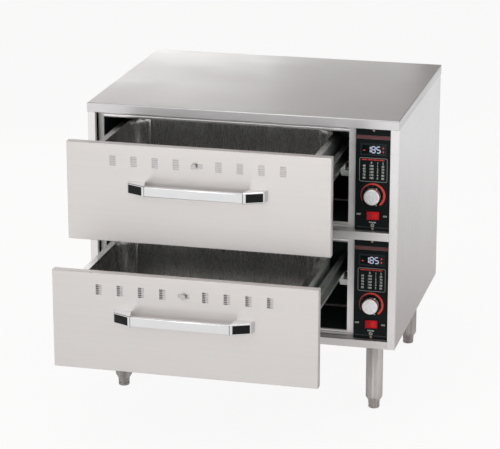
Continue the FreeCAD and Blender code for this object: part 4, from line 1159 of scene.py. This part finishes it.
@dataclass
class Dial(Fitted):
    """Knob with a black skirt, a spun cap and a nose that points at the scale."""

    skirt: float = 20.5 * MM
    cap: float = 19.2 * MM
    pointer: float = 28.0
    seat_inset: float = 0.3 * MM
    seat: float = 3.6 * MM
    groove_half: float = 0.35 * MM
    groove_depth: float = 0.12 * MM
    nose_half: float = 1.5 * MM
    nose_shoulder: float = 1.1 * MM
    nose_tip: float = 0.5 * MM
    nose_root: float = 0.8 * MM
    nose_reach: float = 1.4 * MM
    nose_foot: float = 2.6 * MM
    nose_face: float = 7.5 * MM
    nose_ease: float = 0.5 * MM

    # In millimetres: inset from the rim and height of each point of the skirt and of the cap's foot,
    # inset and drop from the cap's face, and the radius of each groove.
    SKIRT_EDGE = ((0.4, 0), (0, 0.4), (0, 2.8), (0.7, 3.5))
    CAP_FOOT = ((0.6, 3.5), (0.1, 3.9), (0.1, 5.0), (0.5, 5.3), (0.5, 5.8), (0, 6.1))
    CAP_FACE = ((0, 2.2), (0.5, 1.0), (1.3, 0.25), (2.2, 0))
    GROOVES = (15.4, 12.2, 9.0, 5.8, 2.8)

    def build(self) -> None:
        """Turns the skirt and the cap and fits the nose."""
        low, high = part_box(self.bay.node("knob"))
        centre = middle(self.bay.node("spindle"))
        here = Facing.FRONT.at((centre.x, high.y, centre.z))
        length = high.y - low.y
        body = self.bay.node("dial")
        skirt = self.piece("dial_skirt", here)
        edge = [(self.skirt - inset * MM, height * MM) for inset, height in self.SKIRT_EDGE]
        skirt.lathe([(0, 0), *edge, (self.cap - self.seat_inset, self.seat), (0, self.seat)], 64)
        skirt.build(Plastic.skirt, body, "knob_metal", (self.bay.node("knob"),))
        cap = self.piece("dial_cap", here)
        profile = [(self.cap - inset * MM, height * MM) for inset, height in self.CAP_FOOT]
        profile += [(self.cap - inset * MM, length - drop * MM) for inset, drop in self.CAP_FACE]
        for groove in self.GROOVES:
            g, half = groove * MM, self.groove_half
            profile += [(g + half, length), (g, length - self.groove_depth), (g - half, length)]
        cap.lathe([*profile, (0, length)], 96)
        metal = TurnedMetal(self.bay.node("dial_cap_metal"), (0.90, 0.90, 0.91), 0.30, tuple(centre))
        cap.build(metal, body, "knob_metal")
        nose = self.piece("dial_nose", here @ Matrix.Rotation(-math.radians(self.pointer), 4, "Z"))
        root, reach = self.cap - self.nose_root, self.skirt + self.nose_reach
        half, shoulder = self.nose_half, (self.nose_shoulder, reach - self.nose_tip)
        outline = [(-half, root), (half, root), shoulder, (0, reach), (-shoulder[0], shoulder[1])]
        nose.prism(outline, self.nose_foot, self.nose_face, self.nose_ease)
        nose.build(Steel.chrome, body, "knob_metal")


@dataclass
class PowerSwitch(Fitted):
    """Lit rocker in its bezel, with its moulded marks and the words at its sides."""

    ink: float = 0.08 * MM
    ribs: int = 3
    rib: float = 0.55 * MM
    rib_height: float = 7.6 * MM
    rib_pitch: float = 1.15 * MM
    rib_corner: float = 0.2 * MM
    first_rib: float = 0.8
    lamp_inset: float = 8.5 * MM
    lamp_depth: float = 2 * MM
    mark_drop: float = 24.0 * MM
    mark_rims: Point = (4.0 * MM, 2.4 * MM)
    mark_inset: float = 1.2 * MM
    off_rims: Point = (2.3 * MM, 1.3 * MM)
    on_bar: Place = (1.1 * MM, 4.6 * MM, 0.2 * MM)

    # The power mark's open ring, and the width, height, corner and place of its bar.
    MARK_TURNS = range(40, 321, 14)
    MARK_BAR = (1.5 * MM, 4.2 * MM, 0.4 * MM, 0, 2.6 * MM)

    # Word, height of the type, place along x and rise above the switch's middle, in millimetres.
    LABELS = (("OFF", 5.8, -33.3, 1.2), ("ON", 5.8, 29.0, -0.8), ("POWER", 4.8, 0, -17.2))

    def build(self, face: Matrix) -> None:
        """Dresses the switch and prints round it.

        Args:
            face: frame of the panel's face, with its origin on the upper edge.
        """
        low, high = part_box(self.bay.node("rocker"))
        height = (low.z + high.z) / 2
        lamp = (high.x - self.lamp_inset, low.y + self.lamp_depth, height)
        lens = Lit(self.bay.node("rocker_lens"), (0.20, 0.002, 0.006), 0.30, glow=(0.50, 0.002, 0.012),
                   hot=(1.0, 0.05, 0.02), strength=0.50, lamp=lamp)
        self.dress_all([("switch_body", Plastic.switch, 0.3), ("rocker", lens, 0.5)])
        drop = face.translation.z - middle(self.bay.node("switch_body")).z
        words = self.piece("switch_words", face)
        for text, size, x, rise in self.LABELS:
            words.words(text, size * MM, x * MM, -drop + rise * MM, self.ink)
        words.print_on(Plastic.pale)
        mark = self.piece("power_mark", face @ Matrix.Translation((0, -drop - self.mark_drop, 0)))
        outer, inner = ([clock(rim, turn) for turn in self.MARK_TURNS] for rim in self.mark_rims)
        mark.band(outer, inner, 0, self.ink, closed=False)
        mark.prism(plate(*self.MARK_BAR), 0, self.ink)
        mark.print_on(Plastic.pale)
        self.mark_rocker(height)

    def mark_rocker(self, height: float) -> None:
        """Moulds grip ribs and the marks for off and on into the rocker's two slopes.

        Args:
            height: height of the rocker's middle.
        """
        node = self.bay.node("rocker")
        vertices = bpy.data.objects[node].data.vertices
        rim = {(round(v.co.x, 5), round(v.co.y, 5)) for v in vertices if v.co.z > height}
        left, valley, right = sorted(sorted(rim, key=lambda p: p[1])[:3])
        for name, start, end, outward in (("off", left, valley, -1), ("on", valley, right, 1)):
            along = Vector((end[0] - start[0], end[1] - start[1], 0))
            half = along.length / 2
            along.normalize()
            up = Vector((0, 0, 1))
            slope = Matrix((along, up, along.cross(up))).transposed().to_4x4()
            slope.translation = (*start, height)
            marks = self.piece(f"rocker_{name}_mark", slope)
            for i in range(self.ribs):
                x = half + outward * (half - (i + self.first_rib) * self.rib_pitch)
                rib = plate(self.rib, self.rib_height, self.rib_corner, x, 0)
                marks.prism(rib, -self.ink, 3 * self.ink)
            x = half - outward * self.mark_inset
            if name == "off":
                outer, inner = (disc(rim, 20, x) for rim in self.off_rims)
                marks.band(outer, inner, -self.ink, 2 * self.ink)
            else:
                marks.prism(plate(*self.on_bar, x, 0), -self.ink, 2 * self.ink)
            marks.build(Plastic.lens_mark, node, "rocker_red")


@dataclass
class ControlPanel(Fitted):
    """Black panel with its prints, display, dial, switch and screws."""

    band_drop: float = 22.8 * MM
    line_drop: float = 239.5 * MM
    margin: float = 2.4 * MM
    ink: float = 0.08 * MM
    line_inset: float = 8 * MM
    line_height: float = 0.6 * MM
    screw_drops: Point = (6.2 * MM, 243.2 * MM)
    screw: Point = (3.1 * MM, 1.7 * MM)

    # Rise above the band's middle and height of each stripe, in millimetres.
    BAND = ((2.5, 2.0), (-0.2, 1.7), (-2.9, 2.0))
    PINSTRIPES = ((4.1, 0.5), (1.1, 0.55), (-1.55, 0.55), (-4.3, 0.5))

    def build(self) -> None:
        """Dresses the panel and fits what it carries."""
        self.dress_all([("control_panel", Plastic.panel, 0.4), ("spindle", Steel.spindle, 0)])
        low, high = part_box(self.bay.node("control_panel"))
        face = Facing.FRONT.at(((low.x + high.x) / 2, low.y, high.z))
        self.print_band(face, high.x - low.x)
        screws = self.piece("panel_screws", face)
        for drop in self.screw_drops:
            screws.pan_head(0, -drop, *self.screw)
        screws.build(Steel.brass_screw, "cabinet", "control_black")
        spindle = middle(self.bay.node("spindle"))
        TemperatureDisplay(self.bay).build()
        HoldingChart(self.bay).build(face)
        DialScale(self.bay).build(Vector((spindle.x, low.y, spindle.z)))
        Dial(self.bay).build()
        PowerSwitch(self.bay).build(face)

    def print_band(self, face: Matrix, width: float) -> None:
        """Prints the maroon band, its pinstripes and the fine line at the foot.

        Args:
            face: frame of the panel's face, with its origin on the upper edge.
            width: the panel's width.
        """
        here = face @ Matrix.Translation((0, -self.band_drop, 0))
        band, lines = self.piece("panel_band", here), self.piece("panel_pinstripes", here)
        for piece, stripes in ((band, self.BAND), (lines, self.PINSTRIPES)):
            for y, height in stripes:
                piece.prism(plate(width - self.margin, height * MM, 0, 0, y * MM), 0, self.ink)
        band.print_on(Plastic.maroon)
        foot = self.band_drop - self.line_drop
        lines.prism(plate(width - self.line_inset, self.line_height, 0, 0, foot), 0, self.ink)
        lines.print_on(Plastic.dull_silver)


# ------------------------------------------------------------------ sub-assemblies
@dataclass
class Cabinet:
    """Outer sheets, back, insulation, legs and feet of the cabinet."""

    back_inset: float = 9 * MM
    flange_screws: float = 27 * MM
    leg_radius: float = 20.3 * MM
    back_screw: Point = (4.0 * MM, 2.0 * MM)
    base_screw: Point = (3.2 * MM, 1.8 * MM)
    nut_facets: int = 96
    nut_rims: Point = (17.9 * MM, 17.2 * MM)
    nut_bore: float = 9.2 * MM
    nut_foot: float = 0.2 * MM
    nut_face: float = 3.4 * MM
    toe_radius: float = 13.75 * MM
    toe_top: float = 10.6 * MM

    LOOKS = (("top_cover", Steel.top, 0.8), ("left_side_panel", Steel.side, 0.8),
             ("right_side_panel", Steel.side, 0.8), ("mid_rail", Steel.rail, 0.8),
             ("base_panel", Steel.rail, 0.8), ("back_panel", Steel.back, 0.3),
             ("insulation", Plastic.wool, 0), ("thermostats", Steel.casing, 0.5), ("legs", Steel.leg, 0))
    BACK_COLUMNS = (-0.30, -0.10, 0.10, 0.30)
    BACK_ROWS = (0.24, 0.44, 0.64)
    # Radius and height of each point of a toe, in millimetres, on a foot whose radius is toe_radius.
    TOE = ((0, 0), (11.6, 0), (12.6, 0.5), (13.3, 1.7), (13.6, 4.0), (13.6, 6.6), (12.7, 7.3), (12.7, 9.4),
           (13.6, 10.1))

    def build(self) -> None:
        """Dresses the cabinet's nodes and fits its screws, gland and feet."""
        for node, finish, radius in self.LOOKS:
            dress(node, finish, radius * MM)
        self.fit_back_screws()
        self.fit_base_screws()
        self.turn_gland()
        for end in ("front_left", "front_right", "rear_left", "rear_right"):
            self.turn_foot(f"{end}_foot")

    def fit_back_screws(self) -> None:
        """Fits the screws round the back panel."""
        low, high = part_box("back_panel")
        screws = Workpiece("back_screws", Facing.BACK.at((0, high.y, 0)))
        inset = self.back_inset
        places = [(x, z) for z in (low.z + inset, high.z - inset) for x in self.BACK_COLUMNS]
        places += [(x, z) for x in (low.x + inset, high.x - inset) for z in self.BACK_ROWS]
        for x, z in places:
            screws.pan_head(-x, z, *self.back_screw)
        screws.build(Steel.screw, "cabinet", "back_steel")

    def fit_base_screws(self) -> None:
        """Fits the screws that hold each leg's flange to the underside."""
        low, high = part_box("legs")
        screws = Workpiece("base_screws", Facing.DOWN.at((0, 0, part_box("base_panel")[0].z)))
        reach = self.leg_radius
        for x in (low.x + reach, high.x - reach):
            for y in (low.y + reach, high.y - reach):
                for turn in (45, 135, 225, 315):
                    dx, dy = clock(self.flange_screws, turn)
                    screws.pan_head(x + dx, -(y + dy), *self.base_screw)
        screws.build(Steel.screw, "cabinet", "leg_steel")

    def turn_gland(self) -> None:
        """Dresses the cord gland and turns its ribbed nut."""
        low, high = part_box("cord_gland")
        dress("cord_gland", Plastic.bushing, 0.2 * MM)
        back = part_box("back_panel")[1].y
        nut = Workpiece("gland_nut", Facing.BACK.at(((low.x + high.x) / 2, back, (low.z + high.z) / 2)))
        facets = [(step, -360 * step / self.nut_facets) for step in range(self.nut_facets)]
        rim = [clock(self.nut_rims[step % 4 // 2], turn) for step, turn in facets]
        bore = [clock(self.nut_bore, turn) for _, turn in facets]
        nut.band(rim, bore, self.nut_foot, self.nut_face)
        nut.build(Plastic.bushing, "cabinet", "bushing_black")

    def turn_foot(self, node: str) -> None:
        """Turns one foot with its wrench groove and eased toe.

        Args:
            node: the foot's node and body.
        """
        low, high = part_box(node)
        radius = (high.x - low.x) / 2
        top = high.z - low.z
        place = ((low.x + high.x) / 2, (low.y + high.y) / 2, low.z)
        foot = Workpiece(f"{node}_turned", Facing.UP.at(place))
        toe = [(r * MM * radius / self.toe_radius, z * MM) for r, z in self.TOE]
        foot.lathe([*toe, (radius, self.toe_top), (radius, top), (0, top)])
        foot.build(Steel.foot, node, "foot_steel", (node,))


@dataclass
class HeatedBay(Fitted):
    """One cavity with its mouth, rods, channels and rollers."""

    lap: float = 1.2 * MM
    sill: float = 14 * MM
    head: float = 16 * MM
    beads: int = 2
    bead_rise: float = 1.1 * MM
    bead_root: float = 0.2 * MM
    bead_margin: float = 0.3
    first_bead: float = 0.65
    bead_half: float = 0.47
    arc_steps: int = 12

    def build(self) -> None:
        """Dresses the bay's nodes and lays the beads of its mouth."""
        self.dress_all([("trim_frame", Steel.trim, 0.4)])
        self.fit_beads()
        # The liner's near-black finish is painted shade.
        self.dress_all([("liner", Steel.cavity, 0.5), ("elements", Steel.sheath, 0),
                        ("slide_channels", Steel.slide, 0.3), ("mouth_rollers", Plastic.nylon, 0)])

    def fit_beads(self) -> None:
        """Lays beaded strips on the two cross members of the mouth, flush with the uprights' faces."""
        low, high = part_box(self.bay.node("trim_frame"))
        left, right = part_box(self.bay.node("liner"))
        turns = [math.pi * k / self.arc_steps for k in range(self.arc_steps + 1)]
        for name, foot, height in (("sill", low.z, self.sill), ("head", high.z - self.head, self.head)):
            strip = self.piece(f"{name}_beads", Facing.RIGHT.at((left.x, low.y + self.lap, foot)))
            pitch = height / (self.beads + self.bead_margin)
            for i in range(self.beads):
                rise, half = pitch * (i + self.first_bead), self.bead_half * pitch
                arc = [(-self.bead_rise * math.sin(a), rise + half * math.cos(a)) for a in turns]
                outline = [(self.bead_root, arc[0][1]), *arc, (self.bead_root, arc[-1][1])]
                strip.prism(outline, 0, right.x - left.x)
            strip.build(Steel.bead, "cabinet", "trim_steel")


@dataclass
class Drawer(Fitted):
    """One drawer: front, rails, carrier, pan, vents and handle."""

    joint: float = 0.9 * MM
    proud: float = 0.25 * MM
    corner: float = 2.2 * MM

    def build(self) -> None:
        """Dresses the drawer's nodes and fits the handle's joints."""
        self.dress_all([
            ("front_skin", Steel.front, 0.5), ("inner_panel", Steel.inner, 0.3),
            ("slide_rails", Steel.slide, 0.3), ("pan_carrier", Steel.slide, 0.3), ("pan", Steel.pan, 0.3),
            ("rear_rollers", Plastic.nylon, 0), ("vent_plate", Steel.inner, 0.2),
            ("vent_knob", Steel.vent_knob, 0.3), ("handle_bar", Steel.chrome, 0.5),
            ("handle_brackets", Steel.chrome, 0.5), ("handle_inlays", Plastic.inlay, 0.2),
        ])
        self.fit_bar_joints()

    def fit_bar_joints(self) -> None:
        """Fits the thin dark gaskets between the bar and its brackets."""
        low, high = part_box(self.bay.node("handle_bar"))
        for side, x in (("left", low.x), ("right", high.x - self.joint)):
            here = Facing.RIGHT.at((x, (low.y + high.y) / 2, (low.z + high.z) / 2))
            gasket = self.piece(f"{side}_bar_gasket", here)
            section = plate(high.y - low.y, high.z - low.z + 2 * self.proud, self.corner)
            gasket.prism(section, 0, self.joint)
            gasket.build(Plastic.gasket, self.bay.node("drawer"), "black_inlay")


def main() -> None:
    """Builds every sub-assembly in order."""
    logging.basicConfig(level=logging.INFO, format="%(message)s")
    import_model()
    ProductCamera().build()
    Studio().build()
    Cabinet().build()
    for bay in Bay:
        HeatedBay(bay).build()
        ControlPanel(bay).build()
        Drawer(bay).build()


if __name__ == "__main__":
    main()
